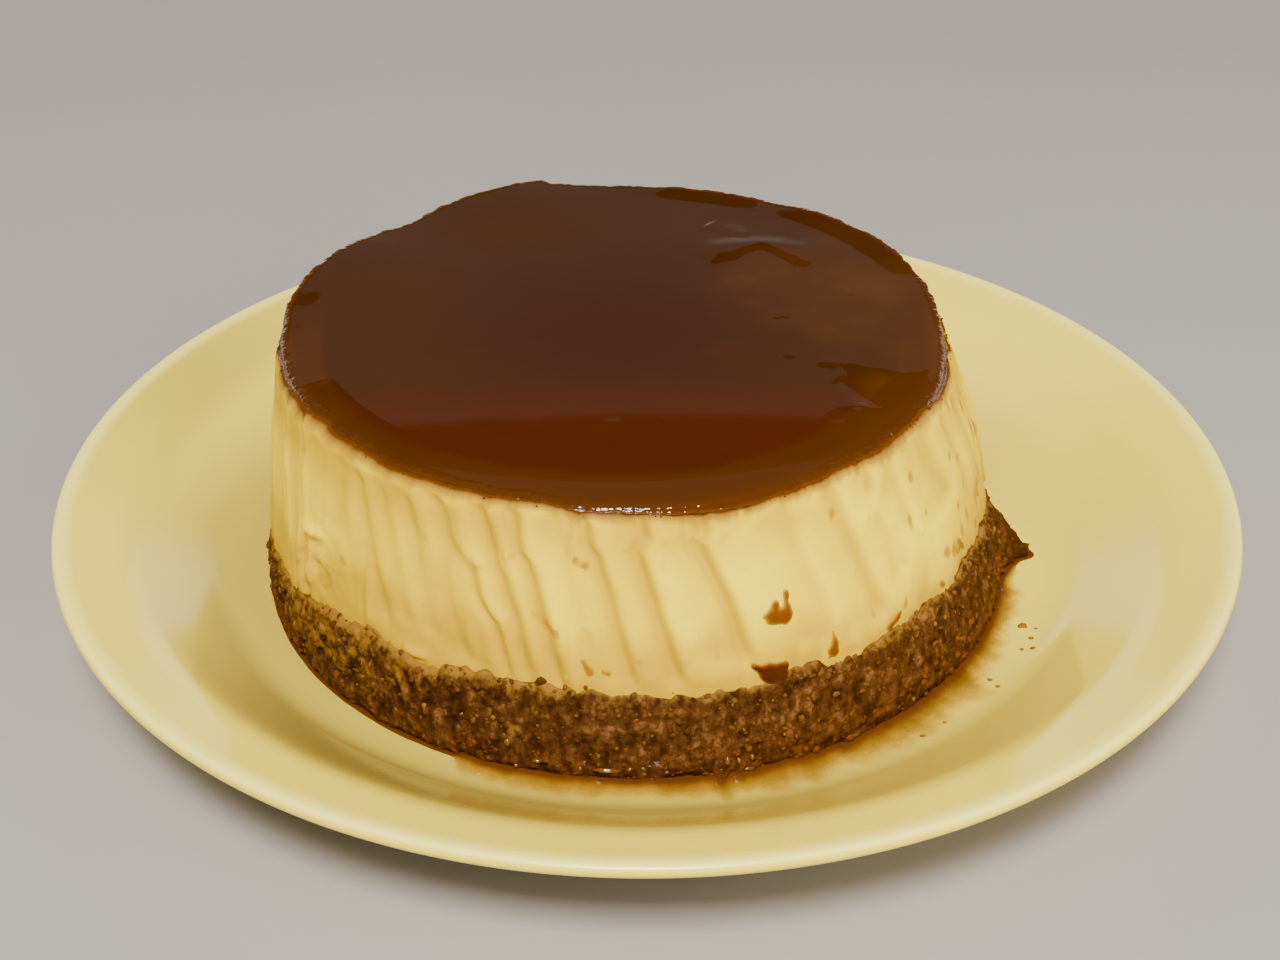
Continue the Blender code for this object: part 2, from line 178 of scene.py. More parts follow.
# Wrinkles in the caramel's skin: height, half widths before and behind the crest, then the crest (mm)
WRINKLE_HEIGHT = 0.3 * MM
WRINKLES = (
    (0.34, 2.6, 9.0, (13.2, 28.2), (16.4, 30.7), (20.9, 34.6), (23.6, 37.4), (26.0, 38.9), (28.4, 39.0),
     (30.6, 37.6), (32.8, 35.0), (35.1, 32.2), (38.0, 29.2), (40.4, 25.4)),
    (0.12, 1.5, 5.0, (14.2, 49.3), (15.6, 48.3), (18.1, 45.5), (22.9, 44.9), (25.5, 45.0)),
    (0.07, 1.2, 2.4, (26.6, 55.9), (28.3, 55.3), (30.0, 55.5)),
    (0.05, 0.7, 0.9, (45.3, 12.0), (47.0, 12.3), (49.0, 14.0)),
    (0.05, 0.8, 1.6, (28.0, 0.5), (30.5, 1.2), (33.0, 0.4)),
)

# Blisters in the caramel's skin: across and along, half width, half length and height (mm)
BLISTERS = (
    (30.9, -17.2, 1.9, 1.7, 0.06), (39.2, -20.4, 3.5, 3.0, 0.12), (-6.9, -45.6, 1.8, 1.2, 0.05),
    (51.5, 4.5, 1.0, 0.8, 0.03), (-24.7, 21.5, 0.5, 0.45, 0.08),
)

# The slope of the cap's front shoulder: share of the cap's radius and degrees
CAP_SLOPES = (
    (0, 0.0), (0.845, 0.2), (0.865, 5.5), (0.90, 8.0), (0.94, 11.0), (0.97, 20.0), (0.985, 42.0), (1.0, 66.0))

# The dip at the caramel's front right: its left and its far border, across and along, in millimetres
DIP_LEFT = ((-60, 34), (-44.3, 35.4), (-39, 41), (-37, 38.9), (-30, 39), (-26.8, 41.9), (-20, 42))
DIP_FAR = ((35, -19), (41.5, -20.6), (47.8, -22.4), (54.9, -25), (60.7, -21.5), (65.5, -17.5), (80, -14))

# Tan and brown stains in the custard: bearing (degrees), height, half width, half height (mm), strength
STAINS = (
    (-102.1, 42.7, 0.9, 1.0, 0.5), (-101.3, 41.6, 1.1, 1.1, 0.6), (-100.3, 40.5, 1.1, 1.0, 0.55),
    (-99.3, 39.5, 1.2, 1.0, 0.6), (-95.8, 54.6, 0.6, 0.7, 0.9), (-94.5, 53.4, 0.9, 0.8, 1.0),
    (-38.8, 55.5, 0.9, 1.1, 0.8), (-55.9, 56.1, 1.0, 1.1, 0.9), (-40.8, 47.2, 0.8, 1.5, 0.7),
    (-36.6, 46.4, 0.7, 0.6, 0.5), (-22.2, 49.0, 1.1, 0.9, 0.6), (-22.4, 43.3, 0.8, 1.3, 0.7),
    (-26.2, 40.7, 0.8, 1.0, 0.6), (-139.0, 34.2, 2.0, 1.9, 0.55), (-136.0, 40.3, 1.4, 1.1, 0.5),
    (-127.6, 37.2, 1.1, 1.4, 0.35), (-35.6, 29.6, 1.2, 1.0, 0.7), (-44.9, 31.3, 0.8, 1.3, 0.8),
    (-51.4, 32.5, 0.7, 0.7, 0.6), (-30.5, 33.4, 1.4, 1.8, 0.9), (-32.9, 34.9, 1.5, 1.5, 0.8),
    (-26.5, 34.8, 0.8, 2.2, 0.8), (-23.3, 36.6, 0.9, 2.4, 0.8), (-11.8, 48.0, 0.8, 3.2, 0.8),
    (-2.2, 40.0, 0.8, 2.6, 0.8), (6.6, 43.6, 0.8, 2.2, 0.7), (-88.0, 34.4, 1.1, 0.8, 0.45),
    (-98.9, 33.0, 0.7, 0.6, 0.4), (-105.2, 54.0, 1.2, 1.0, 0.35), (-72.0, 51.0, 2.6, 2.2, 0.16),
    (-81.5, 33.6, 2.6, 1.0, 0.28), (-112.0, 31.5, 2.2, 1.2, 0.25), (-60.8, 33.6, 1.4, 0.9, 0.3),
    (-147.5, 58.0, 0.7, 1.4, 0.5), (-76.9, 34.0, 0.6, 0.9, 0.35), (-56.5, 27.8, 2.4, 1.5, 0.6),
    (-21.0, 60.2, 0.9, 1.6, 0.9), (-18.0, 58.4, 0.7, 1.5, 1.1), (-13.0, 55.0, 0.5, 2.2, 1.0),
    (-9.0, 53.6, 0.5, 2.0, 1.1), (-26.5, 52.6, 0.9, 1.2, 0.6), (-20.0, 31.5, 1.3, 1.6, 0.9),
    (-17.0, 35.0, 0.9, 2.6, 0.8), (-14.0, 30.0, 1.2, 2.4, 0.8), (-12.0, 38.0, 0.7, 3.0, 0.6),
)

# Drops of caramel on the custard: bearing (degrees), height, thickness (mm), how dark, and their strokes,
# each from one spot (across, up) with its half width to another, in millimetres
DROPS = (
    (-67.4, 40.0, 0.45, 0.55, ((-1.3, 0.2, 1.6), (1.2, -0.2, 1.9)), ((1.9, 0.5, 0.9), (2.2, 4.4, 0.5)),
     ((-0.6, 1.0, 1.0), (-0.4, 2.6, 0.7)), ((-2.2, 0.6, 1.0), (-2.9, 0.8, 0.6))),
    (-69.2, 28.4, 0.95, 1.0, ((-0.8, 0.4, 2.2), (1.2, -0.6, 2.2)), ((-1.6, 0.9, 1.5), (-3.8, 2.4, 0.7)),
     ((1.6, 0.9, 1.4), (2.7, 1.3, 0.9)), ((0.2, -1.5, 1.6), (0.4, -2.8, 1.0))),
    (-59.2, 29.6, 0.4, 0.6, ((-0.3, -0.3, 1.3), (0.2, 1.2, 0.9)), ((0.2, 1.2, 0.8), (0.2, 3.2, 0.35)),
     ((-0.6, -0.6, 0.8), (-1.5, -1.5, 0.4))),
    (-47.9, 29.2, 0.4, 0.6, ((-1.4, -0.6, 0.9), (1.6, 0.7, 0.7)), ((1.2, 0.6, 0.7), (2.2, 1.2, 0.4))),
    (-95.2, 32.6, 0.2, 0.38, ((-0.6, 1.7, 0.5), (0.5, -0.8, 0.8)),),
    (-92.6, 31.9, 0.15, 0.3, ((-0.4, 0.1, 0.6), (0.6, -0.2, 0.6)),),
    (-35.7, 29.5, 0.3, 0.5, ((-0.6, 0.5, 0.8), (0.5, -0.5, 0.6)),),
    (-28.2, 33.4, 0.3, 0.45, ((-1.0, 1.2, 0.7), (1.4, -1.6, 0.6)), ((0.0, 0.2, 0.8), (-2.0, -0.9, 0.4))),
    (-15.3, 36.5, 0.3, 0.6, ((-0.4, -1.6, 0.5), (0.3, 1.8, 0.4)),),
    (-6.0, 44.0, 0.3, 0.6, ((-0.2, -1.6, 0.5), (0.2, 1.6, 0.35)),),
)

# Colours of a caramel drop by how thick it is
DROP_TONES = (
    (0.0, (0.62, 0.36, 0.004)), (0.25, (0.36, 0.16, 0.002)), (0.5, (0.18, 0.050, 0.001)),
    (0.85, (0.055, 0.012, 0.0006)))

# How far the caramel soaks down, by bearing in degrees, as a multiple of the setting
SOAK_REACH = (
    (-180, 1.3), (-140, 1.3), (-118, 1.0), (-95, 0.8), (-78, 0.9), (-60, 1.1), (-38, 1.4), (0, 1.2),
    (90, 1.0))

# How far the sponge's side stands out, by share of the way down, in millimetres
CRUMB_ROWS = (
    (0, 0.75), (0.07, 1.1), (0.26, 1.2), (0.45, 1.1), (0.64, 1.0), (0.8, 0.7), (0.91, 0.3), (1, -0.6))

# Clumps of wet crumb that stand out: bearing, half width (degrees), reach (mm), share of the way down
# at which they begin
CLUMPS = ((-1.5, 5.6, 7.4, 0.16), (-78.2, 1.1, 1.4, 0.6), (-75.8, 0.8, 0.8, 0.7))

# How light is scattered in the crumb, and how little it shines
CRUMB_BODY = {
    "Specular_IOR_Level": 0.05,
    "IOR": 1.4,
    "Subsurface_Radius": (1.0, 0.4, 0.1),
    "Subsurface_Scale": 0.8 * MM,
}

# Points of a pebble: columns and rows, and two poles
PEBBLE_COLUMNS, PEBBLE_ROWS = 8, 3
PEBBLE_POINTS = PEBBLE_COLUMNS * PEBBLE_ROWS + 2

# Brown specks on the plate: across and along from its centre, and size (mm)
SPECKS = (
    (83.9, -37.1, 1.5), (84.9, -41.9, 0.9), (82.2, -45.9, 0.7), (84.6, -46.2, 0.8), (73.6, -56.4, 0.8),
    (74.9, -59.2, 0.7), (56.9, -75.3, 0.8), (-85.7, -9.5, 0.9), (86.6, -38.4, 0.6), (62.0, -70.9, 0.6),
)

# The camera: focal length and picture width in pixels, then its yaw, pitch and roll in degrees and its place
FOCAL_LENGTH, PICTURE_WIDTH, FILM_WIDTH = 1900, 1280, 36.0
CAMERA_ANGLES = (-0.2189, 32.150, -0.2017)
CAMERA_PLACE = (0.0, -378.56 * MM, 261.28 * MM)
CAKE_MIDDLE = (0, 0, 0.03)
FLOOR_HALF = 12.0


# ---------------------------------------------------------------- settings

def length(name, description, default):
    return bpy.props.FloatProperty(
        name=name, description=description, default=default, unit="LENGTH", min=0.0)


def share(name, description, default):
    return bpy.props.FloatProperty(name=name, description=description, default=default, min=0.0, max=1.0)


def power(name, description, default):
    return bpy.props.FloatProperty(
        name=name, description=description, default=default, unit="POWER", min=0.0)


def colour(name, description, default):
    return bpy.props.FloatVectorProperty(
        name=name, description=description, default=default, size=3, subtype="COLOR", min=0.0, max=1.0)


class PlateSettings(bpy.types.PropertyGroup):
    glaze: colour("Glaze", "Colour of the plate's glaze", (0.91, 0.70, 0.060))
    # Partly glaze that lies thicker in the well, partly painted shade where the well lies beside the cake.
    well: colour("Well", "Colour of the glaze in the well, where it is thickest", (0.54, 0.395, 0.036))
    # Partly thin glaze, partly a painted highlight: the lip is lighter, as if it caught the light.
    thin_glaze_and_highlight: colour("Thin glaze and highlight", "Colour where the glaze is thin, on the lip", (0.97, 0.86, 0.20))
    # Painted shade and painted reflection of the cake: a dark band along the well's bend at the front, and a
    # darker rim at the back left and the front.
    pooled: colour("Painted shade", "Colour along the well's bend at the front", (0.1998, 0.1343, 0.0324))
    # Painted fill light: a paler colour for the well behind the cake, where its shadow falls.
    rear: colour("Back of the well", "Colour of the well at the back", (0.88, 0.71, 0.20))
    speck: colour("Specks", "Iron specks in the glaze", (0.35, 0.22, 0.05))
    clay: colour("Clay", "Bare clay of the foot ring", (0.62, 0.50, 0.33))
    roughness: share("Roughness", "Roughness of the glaze", 0.12)


class CustardSettings(bpy.types.PropertyGroup):
    pale: colour("Pale custard", "Colour of the custard's face", (1.0, 0.762, 0.001))
    # Painted shade: the custard's colour where it is shaded, down in the folds, low down, below the caramel
    # and at the sides.
    deep: colour("Deep custard", "Colour down in the folds", (0.62, 0.385, 0.001))
    # Painted light: paler, less saturated copies of the custard's colours for the back, where less light
    # falls.
    dim_back_custard: colour("Custard in dim light", "Colour of the face at the back", (0.97, 0.79, 0.24))
    dim_back_folds: colour("Folds in dim light", "Colour down in the folds at the back", (0.82, 0.60, 0.13))
    tan: colour("Tan", "Thin caramel that has soaked into the custard", (0.40, 0.19, 0.006))
    amber: colour("Amber", "Caramel in the custard between tan and brown", (0.33, 0.17, 0.02))
    brown: colour("Brown", "Thick caramel that has soaked into the custard", (0.10, 0.030, 0.003))
    ripple: length("Ripple", "Height of the fine ripples between the folds", 0.07 * MM)
    soak: length("Soak", "How far the caramel has soaked down from its edge", 0.8 * MM)


class CaramelSettings(bpy.types.PropertyGroup):
    middle: colour("Middle", "Colour at the middle, where the caramel is darkest", (0.033, 0.0075, 0.0008))
    outer: colour("Outer", "Colour further out", (0.040, 0.0120, 0.0011))
    # Painted glow: a redder colour towards the front, as where light from the front shines through the
    # caramel.
    front: colour("Front", "Colour towards the front", (0.055, 0.0104, 0.0016))
    amber: colour("Amber", "Colour where the caramel is thin", (0.094, 0.030, 0.0022))
    # Painted reflection: a lighter, less red band where the bend of the front shoulder catches the light from
    # above.
    bend: colour("Bend", "Colour of the bend inside the front shoulder", (0.057, 0.0152, 0.0008))
    brim: colour("Brim", "Colour of the rounded brim", (0.066, 0.0180, 0.0008))
    thin: colour("Thin edge", "Colour at the very edge, where the caramel is thinnest", (0.11, 0.034, 0.003))
    scallop: length("Scallop", "How far the beads of the edge stand out", 0.5 * MM)
    wrinkle: length("Wrinkle", "Height of the wrinkles in the skin", WRINKLE_HEIGHT)


class SpongeSettings(bpy.types.PropertyGroup):
    crumb: colour("Crumb", "Colour of the crumb", (0.072, 0.0250, 0.0052))
    # Partly the crumb's own dark mottle, partly painted shade down in the pores and hollows.
    pore: colour("Pore", "Colour down in the pores", (0.030, 0.0095, 0.0016))
    golden: colour("Golden crumb", "Colour of the crumb next to the custard", (0.235, 0.113, 0.013))
    wet: colour("Wet crumb", "Colour of the crumb that stands in syrup", (0.076, 0.0200, 0.0020))
    relief: length("Relief", "Depth of the crumb's lumps and pores", 0.6 * MM)
    loose: bpy.props.IntProperty(
        name="Loose crumbs", description="Crumbs stuck to the sponge", default=1700, min=0)


class SyrupSettings(bpy.types.PropertyGroup):
    deep: colour("Deep syrup", "Colour of the syrup at the cake's foot", (0.10, 0.030, 0.002))
    thin: colour("Thin syrup", "Colour of the syrup where it runs out", (0.56, 0.30, 0.014))
    thin_bead: colour("Thin bead", "Colour of a small bead where it is thin", (0.30, 0.11, 0.006))
    deep_bead: colour("Deep bead", "Colour of a small bead where it is deep", (0.075, 0.022, 0.002))
    bead: length("Bead", "Height of the syrup against the sponge", 0.6 * MM)


class StageSettings(bpy.types.PropertyGroup):
    floor: colour("Floor", "Colour of the floor", (0.34, 0.315, 0.28))
    key_power: power("Key", "Power of the main soft light", 49.5)
    side_power: power("Side", "Power of the soft light from the front right", 20.0)
    wall: bpy.props.FloatProperty(
        name="Wall", description="Brightness of the wall behind the table", default=2.0, min=0.0)


# ---------------------------------------------------------------- noise

def hashed(cell, seed):
    """A number from 0 to 1 for each lattice cell (last axis x, y, z): its bits are mixed and cut to 32."""
    i, j, k = cell[..., 0], cell[..., 1], cell[..., 2]
    bits = (i * 374761393 + j * 668265263 + k * 1440662683 + seed * 974634777) & 0xFFFFFFFF
    bits = ((bits ^ (bits >> 13)) * 1274126177) & 0xFFFFFFFF
    bits = ((bits ^ (bits >> 16)) * 668265263) & 0xFFFFFFFF
    return (bits ^ (bits >> 15)) / 2.0 ** 32


def noise(points, size, seed):
    """Smooth values from -1 to 1.

    Random numbers at the corners of a lattice of that cell size, blended with the
    quintic 6t^5 - 15t^4 + 10t^3 along each axis.
    """
    at = points / size
    cell = np.floor(at).astype(np.int64)
    t = at - cell
    t = t * t * t * (t * (t * 6 - 15) + 10)
    total = 0.0
    for corner in itertools.product((0, 1), repeat=3):
        weight = np.prod(np.where(np.array(corner) == 1, t, 1 - t), axis=-1)
        total = total + weight * hashed(cell + np.array(corner), seed)
    return 2 * total - 1


def rough(points, size, seed, octaves=3):
    """Sum of noises, each of half the cell size and half the height of the one before."""
    return sum(noise(points, size / 2 ** n, seed + n) / 2 ** n for n in range(octaves))


def cells(points, size, seed):
    """Distance, in cells, to the nearest of one random spot in each cell, and that cell's random number."""
    at = points / size
    cell = np.floor(at).astype(np.int64)
    nearest = np.full(at.shape[:-1], 9.0)
    mark = np.zeros_like(nearest)
    for corner in itertools.product((-1, 0, 1), repeat=3):
        near = cell + np.array(corner)
        spot = near + np.stack([hashed(near, seed + axis) for axis in range(3)], -1)
        away = np.linalg.norm(at - spot, axis=-1)
        mark = np.where(away < nearest, hashed(near, seed + 7), mark)
        nearest = np.minimum(nearest, away)
    return nearest, mark


def smooth(value, low, high):
    """0 below low, 1 above high, and the cubic 3t^2 - 2t^3 between."""
    t = np.clip((value - low) / (high - low), 0, 1)
    return t * t * (3 - 2 * t)


def points_at(x, y, z=0.0):
    """Points from their coordinates, each an array or one number."""
    return np.stack(np.broadcast_arrays(x, y, z), -1)


def flat_noise(u, v, size, seed, octaves=1):
    """Noise over two parameters."""
    return rough(points_at(u, v, 0.5 * size), size, seed, octaves)


def round_steps(count):
    """Evenly spaced bearings of a full turn, as one row."""
    return (np.arange(count) * TURN / count)[None, :]


def outward(bearing):
    """Steps of length 1 away from an upright axis."""
    return points_at(np.cos(bearing), np.sin(bearing))


def turned(bearing, middle):
    """The angle from a middle bearing, from half a turn below 0 to half a turn above."""
    return (bearing - middle + math.pi) % TURN - math.pi


def bell(bearing, middle, width):
    """1 at the middle, falling as exp(-(d / width)^2) to both sides; middle and width are in degrees."""
    return np.exp(-((turned(bearing, math.radians(middle)) / math.radians(width)) ** 2))


def round_table(bearing, table, unit):
    """Values of a table of (degrees, value) at bearings, joined by half cosine waves, without corners."""
    spots = sorted((math.radians(at) % TURN, value * unit) for at, value in table)
    angles = np.array([at for at, _ in spots])
    values = np.array([value for _, value in spots])
    angles = np.concatenate([angles[-1:] - TURN, angles, angles[:1] + TURN])
    values = np.concatenate([values[-1:], values, values[:1]])
    b = bearing % TURN
    k = np.clip(np.searchsorted(angles, b, side="right") - 1, 0, len(angles) - 2)
    t = (b - angles[k]) / np.maximum(angles[k + 1] - angles[k], 1e-9)
    return values[k] + (values[k + 1] - values[k]) * (0.5 - 0.5 * np.cos(math.pi * t))


# ---------------------------------------------------------------- meshes

def grid_mesh(name, points, wrap_rows=False, low_pole=None, high_pole=None):
    """A mesh through a grid of points, rows by columns, whose columns close round.

    Rows run from the middle of the underside outwards, up and back in over the top,
    and columns anticlockwise seen from above, so that the faces point outwards. A
    pole is one point that closes the first or the last row.
    """
    rows, columns = points.shape[:2]
    vertices = points.reshape(-1, 3)
    index = np.arange(rows * columns).reshape(rows, columns)
    closed = np.concatenate([index, index[:, :1]], 1)
    if wrap_rows:
        closed = np.concatenate([closed, closed[:1]])
    triangles = []
    for pole, row, forward in ((low_pole, 0, False), (high_pole, -1, True)):
        if pole is not None:
            tip = np.full(columns, len(vertices))
            vertices = np.concatenate([vertices, [pole]])
            here, following = index[row], np.roll(index[row], -1)
            triangles.append(np.stack([here, following, tip] if forward else [following, here, tip], -1))
    return fill_mesh(name, vertices, quads_of(closed), np.concatenate(triangles) if triangles else None)


def quads_of(index):
    """Quads between the neighbours in a grid of point numbers."""
    low, high = index[:-1], index[1:]
    return np.stack([low[:, :-1], low[:, 1:], high[:, 1:], high[:, :-1]], -1).reshape(-1, 4)


def fill_mesh(name, vertices, quads, triangles=None):
    """A mesh from arrays of vertices, of quads and of triangles."""
    faces = [quads] + ([triangles] if triangles is not None else [])
    corners = np.concatenate([f.ravel() for f in faces]).astype(np.int32)
    sizes = np.concatenate([np.full(len(f), f.shape[1]) for f in faces])
    starts = np.concatenate([[0], np.cumsum(sizes)[:-1]]).astype(np.int32)
    mesh = bpy.data.meshes.new(name)
    mesh.vertices.add(len(vertices))
    mesh.vertices.foreach_set("co", np.asarray(vertices, np.float32).ravel())
    mesh.loops.add(len(corners))
    mesh.loops.foreach_set("vertex_index", corners)
    mesh.polygons.add(len(starts))
    mesh.polygons.foreach_set("loop_start", starts)
    mesh.update(calc_edges=True)
    mesh.validate()
    mesh.shade_smooth()
    return mesh


def paint(mesh, rows=(0, 0), fill=0, **masks):
    """Puts named values on the mesh's points, for its material to read.

    The values are stretched to one shape. Rows of the fill come before and after
    them, for the hidden rows that close a piece, and its poles get 0.
    """
    for name, values in zip(masks, np.broadcast_arrays(*masks.values())):
        flat = np.pad(values, (rows, (0, 0))[:values.ndim], constant_values=fill).ravel()
        full = np.zeros(len(mesh.vertices), np.float32)
        full[:len(flat)] = flat
        mesh.attributes.new(name, "FLOAT", "POINT").data.foreach_set("value", full)


def add_piece(mesh, material, slot, *nodes):
    """Links the mesh as an object at the origin that rides on the cake's one body."""
    mesh.materials.append(material)
    piece = bpy.data.objects.new(mesh.name, mesh)
    bpy.context.scene.collection.objects.link(piece)
    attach(piece, BODY)
    if nodes:
        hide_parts(*nodes)


def polar(centre, bearing, radius, height):
    """Points round a centre, which may be one point or change with the height."""
    x = centre[0] + radius * np.cos(bearing)
    y = centre[1] + radius * np.sin(bearing)
    return points_at(x, y, height)


# ---------------------------------------------------------------- shader expressions

class Wire:
    """A socket in a node tree; arithmetic on it adds Math nodes."""

    def __init__(self, tree, socket):
        self.tree = tree
        self.socket = socket

    def node(self, kind, settings=(), sockets=(), output=0):
        """Any node: its type, its settings, then the values or wires of its sockets by name or number."""
        made = self.tree.nodes.new("ShaderNode" + kind)
        for name, value in dict(settings).items():
            if name == "stops":
                ramp = made.color_ramp
                while len(ramp.elements) < len(value):
                    ramp.elements.new(1.0)
                for element, (place, tone) in zip(ramp.elements, value):
                    element.position, element.color = place, (*tone, 1.0)
            else:
                setattr(made, name, value)
        for key, value in dict(sockets).items():
            self.feed(made.inputs[key], value)
        return Wire(self.tree, made.outputs[output])

    def feed(self, socket, value):
        """Links a wire to a socket, or sets a plain value on it."""
        if isinstance(value, Wire):
            self.tree.links.new(value.socket, socket)
        elif socket.type == "RGBA":
            socket.default_value = (*value, 1.0)
        else:
            socket.default_value = value

    def math(self, operation, *values):
        return self.node("Math", {"operation": operation}, dict(enumerate(values)))

    def __add__(self, other):
        return self.math("ADD", self, other)

    def __sub__(self, other):
        return self.math("SUBTRACT", self, other)

    def __rsub__(self, other):
        return self.math("SUBTRACT", other, self)

    def __mul__(self, other):
        return self.math("MULTIPLY", self, other)

    def __pow__(self, other):
        return self.math("POWER", self, other)

    __radd__ = __add__
    __rmul__ = __mul__

    def most(self, other):
        return self.math("MAXIMUM", self, other)

    def between(self, low, high):
        """0 at low, 1 at high and a smooth step between them."""
        return self.node(
            "MapRange", {"interpolation_type": "SMOOTHSTEP"},
            {"Value": self, "From Min": low, "From Max": high})

    def pick(self, colour_at_0, colour_at_1):
        """A colour that goes from one to the other as this value goes from 0 to 1."""
        return self.node(
            "Mix", {"data_type": "RGBA", "clamp_factor": True},
            {0: self, 6: colour_at_0, 7: colour_at_1}, output=2)


class Finish(Wire):
    """A material under way: its object coordinates, its noises and its Principled shader."""

    def __init__(self, name):
        self.material = bpy.data.materials.new(name)
        self.material.use_nodes = True
        super().__init__(self.material.node_tree, None)
        self.shader = self.tree.nodes["Principled BSDF"]
        self.place = self.node("TexCoord", output=3)

    def mask(self, name):
        """A value painted on the piece's points."""
        return self.node("Attribute", {"attribute_name": name}, output=2)

    def height(self):
        return self.node("SeparateXYZ", sockets={0: self.place}, output=2)

    def across(self):
        """Distance from the object's upright axis."""
        x, y = (self.node("SeparateXYZ", sockets={0: self.place}, output=k) for k in (0, 1))
        return (x * x + y * y) ** 0.5

    def grain(self, scale, detail=2.0, stretch=(1, 1, 1), sharp=0.5):
        """Noise from 0 to 1 on the object's coordinates, in cells for each metre."""
        at = self.node("Mapping", {"vector_type": "POINT"}, {"Vector": self.place, "Scale": stretch})
        return self.node("TexNoise", {}, {"Vector": at, "Scale": scale, "Detail": detail, "Roughness": sharp})

    def speckle(self, scale):
        """Distance to the nearest of scattered spots, in cells of the object's coordinates."""
        return self.node("TexVoronoi", {}, {"Vector": self.place, "Scale": scale})

    def bump(self, height, distance, strength=1.0):
        return self.node("Bump", {}, {"Height": height, "Distance": distance, "Strength": strength})

    def done(self, **sockets):
        """Feeds the shader's sockets, named with underscores for spaces, and gives the material."""
        for name, value in sockets.items():
            self.feed(self.shader.inputs[name.replace("_", " ")], value)
        return self.material


# ---------------------------------------------------------------- plate

def arc(centre_r, centre_z, radius, start, end, steps):
    """Section points on an arc; angles are measured from straight down, towards the rim."""
    turns = np.linspace(start, end, steps)
    return [(centre_r + radius * math.sin(t), centre_z - radius * math.cos(t)) for t in turns]


def spread(points, step):
    """The same open line with points no further apart than a step."""
    points = np.array(points)
    parts = [points[:1]]
    for a, b in zip(points, points[1:]):
        count = max(1, math.ceil(np.linalg.norm(b - a) / step))
        parts.append(a + (b - a) * (np.arange(1, count + 1) / count)[:, None])
    return np.concatenate(parts)


def plate_upper_section(well_steps, shoulder_steps):
    """(radius, height) from the floor's edge to the lip: a bend, a straight wall, a bend and the rim."""
    lip_r = PLATE_RADIUS - LIP_RADIUS - LIP_RADIUS * math.sin(RIM_SLOPE)
    lip_z = PLATE_HEIGHT - LIP_RADIUS + LIP_RADIUS * math.cos(RIM_SLOPE)
    wall_sin, wall_cos = math.sin(WALL_SLOPE), math.cos(WALL_SLOPE)
    rim_sin, rim_cos, rim_tan = math.sin(RIM_SLOPE), math.cos(RIM_SLOPE), math.tan(RIM_SLOPE)
    left_r = lip_r - FLOOR_RADIUS - WELL_CURVE * wall_sin - RIM_CURVE * (wall_sin - rim_sin)
    left_z = lip_z - FLOOR_HEIGHT - WELL_CURVE * (1 - wall_cos) - RIM_CURVE * (rim_cos - wall_cos)
    wall = (left_z - left_r * rim_tan) / (wall_sin - wall_cos * rim_tan)
    well = arc(FLOOR_RADIUS, FLOOR_HEIGHT + WELL_CURVE, WELL_CURVE, 0, WALL_SLOPE, well_steps)
    bend_r = well[-1][0] + wall * wall_cos + RIM_CURVE * wall_sin
    bend_z = well[-1][1] + wall * wall_sin - RIM_CURVE * wall_cos
    shoulder = arc(bend_r, bend_z, -RIM_CURVE, WALL_SLOPE, RIM_SLOPE, shoulder_steps)
    return well + shoulder + [(lip_r, lip_z)]


def plate_section():
    """The whole section: underside, rounded foot ring, back of the rim, lip, upper face.

    The underside lies a thickness below the upper face, square to it, and the
    thickness shrinks evenly from the floor to the lip.
    """
    upper = plate_upper_section(14, 10)
    edge = 0.8 * MM
    inner, outer = FOOT_INNER - FOOT_DRAFT, FOOT_OUTER + FOOT_DRAFT
    foot = [(inner - 2 * MM, UNDER_HEIGHT), (inner, UNDER_HEIGHT - 0.4 * MM)]
    foot += arc(FOOT_INNER + edge, edge, edge, 0.2 - math.pi / 2, 0, 6)
    foot += arc(FOOT_OUTER - edge, edge, edge, 0, 1.37, 6)
    foot += [(outer, UNDER_HEIGHT - 0.3 * MM), (outer + 2 * MM, UNDER_HEIGHT)]
    line = np.array(upper)
    slope = np.arctan2(np.gradient(line[:, 1]), np.gradient(line[:, 0]))
    depth = PLATE_THICKNESS + (2 * LIP_RADIUS - PLATE_THICKNESS) * (
        (line[:, 0] - FLOOR_RADIUS) / (PLATE_RADIUS - FLOOR_RADIUS))
    back = np.stack([line[:, 0] + depth * np.sin(slope), line[:, 1] - depth * np.cos(slope)], -1)[:-1]
    lip_r, lip_z = PLATE_RADIUS - LIP_RADIUS, PLATE_HEIGHT - LIP_RADIUS
    lip = arc(lip_r, lip_z, LIP_RADIUS, RIM_SLOPE, math.pi + RIM_SLOPE, 12)[:-1]
    round_rim = [tuple(p) for p in back] + lip + upper[::-1]
    inner_line = spread([(6 * MM, UNDER_HEIGHT), foot[0]], 5 * MM)
    floor_line = spread([upper[0], (6 * MM, FLOOR_HEIGHT)], 4 * MM)[1:]
    return np.concatenate([inner_line[:-1], spread(foot + round_rim, 1.4 * MM), floor_line])


def well_rise(out):
    """How far the plate's face has risen at a distance from its middle, on the first bend of its well."""
    return WELL_CURVE - np.sqrt(WELL_CURVE ** 2 - np.clip(out - FLOOR_RADIUS, 0, 12 * MM) ** 2)


def plate_masks(out, bearing):
    """Masks: painted shade at the well's bend and on the rim, painted light at the right, painted fill at the
    rear.
    """
    rim = smooth(out, 112 * MM, 120 * MM) * (1 - smooth(out, 130 * MM, 133 * MM))
    bend = np.exp(-(((out - 107.5 * MM) / (10 * MM)) ** 4))
    pooled = bend * bell(bearing, -110, 52) + rim * (
        0.38 * bell(bearing, 155, 22) + 0.15 * bell(bearing, -100, 60))
    rear = 0.8 * bell(bearing, 95, 42) * (1 - smooth(out, 104 * MM, 116 * MM))
    return {"pooled": pooled, "fair": 0.9 * bell(bearing, -12, 45), "rear": rear}


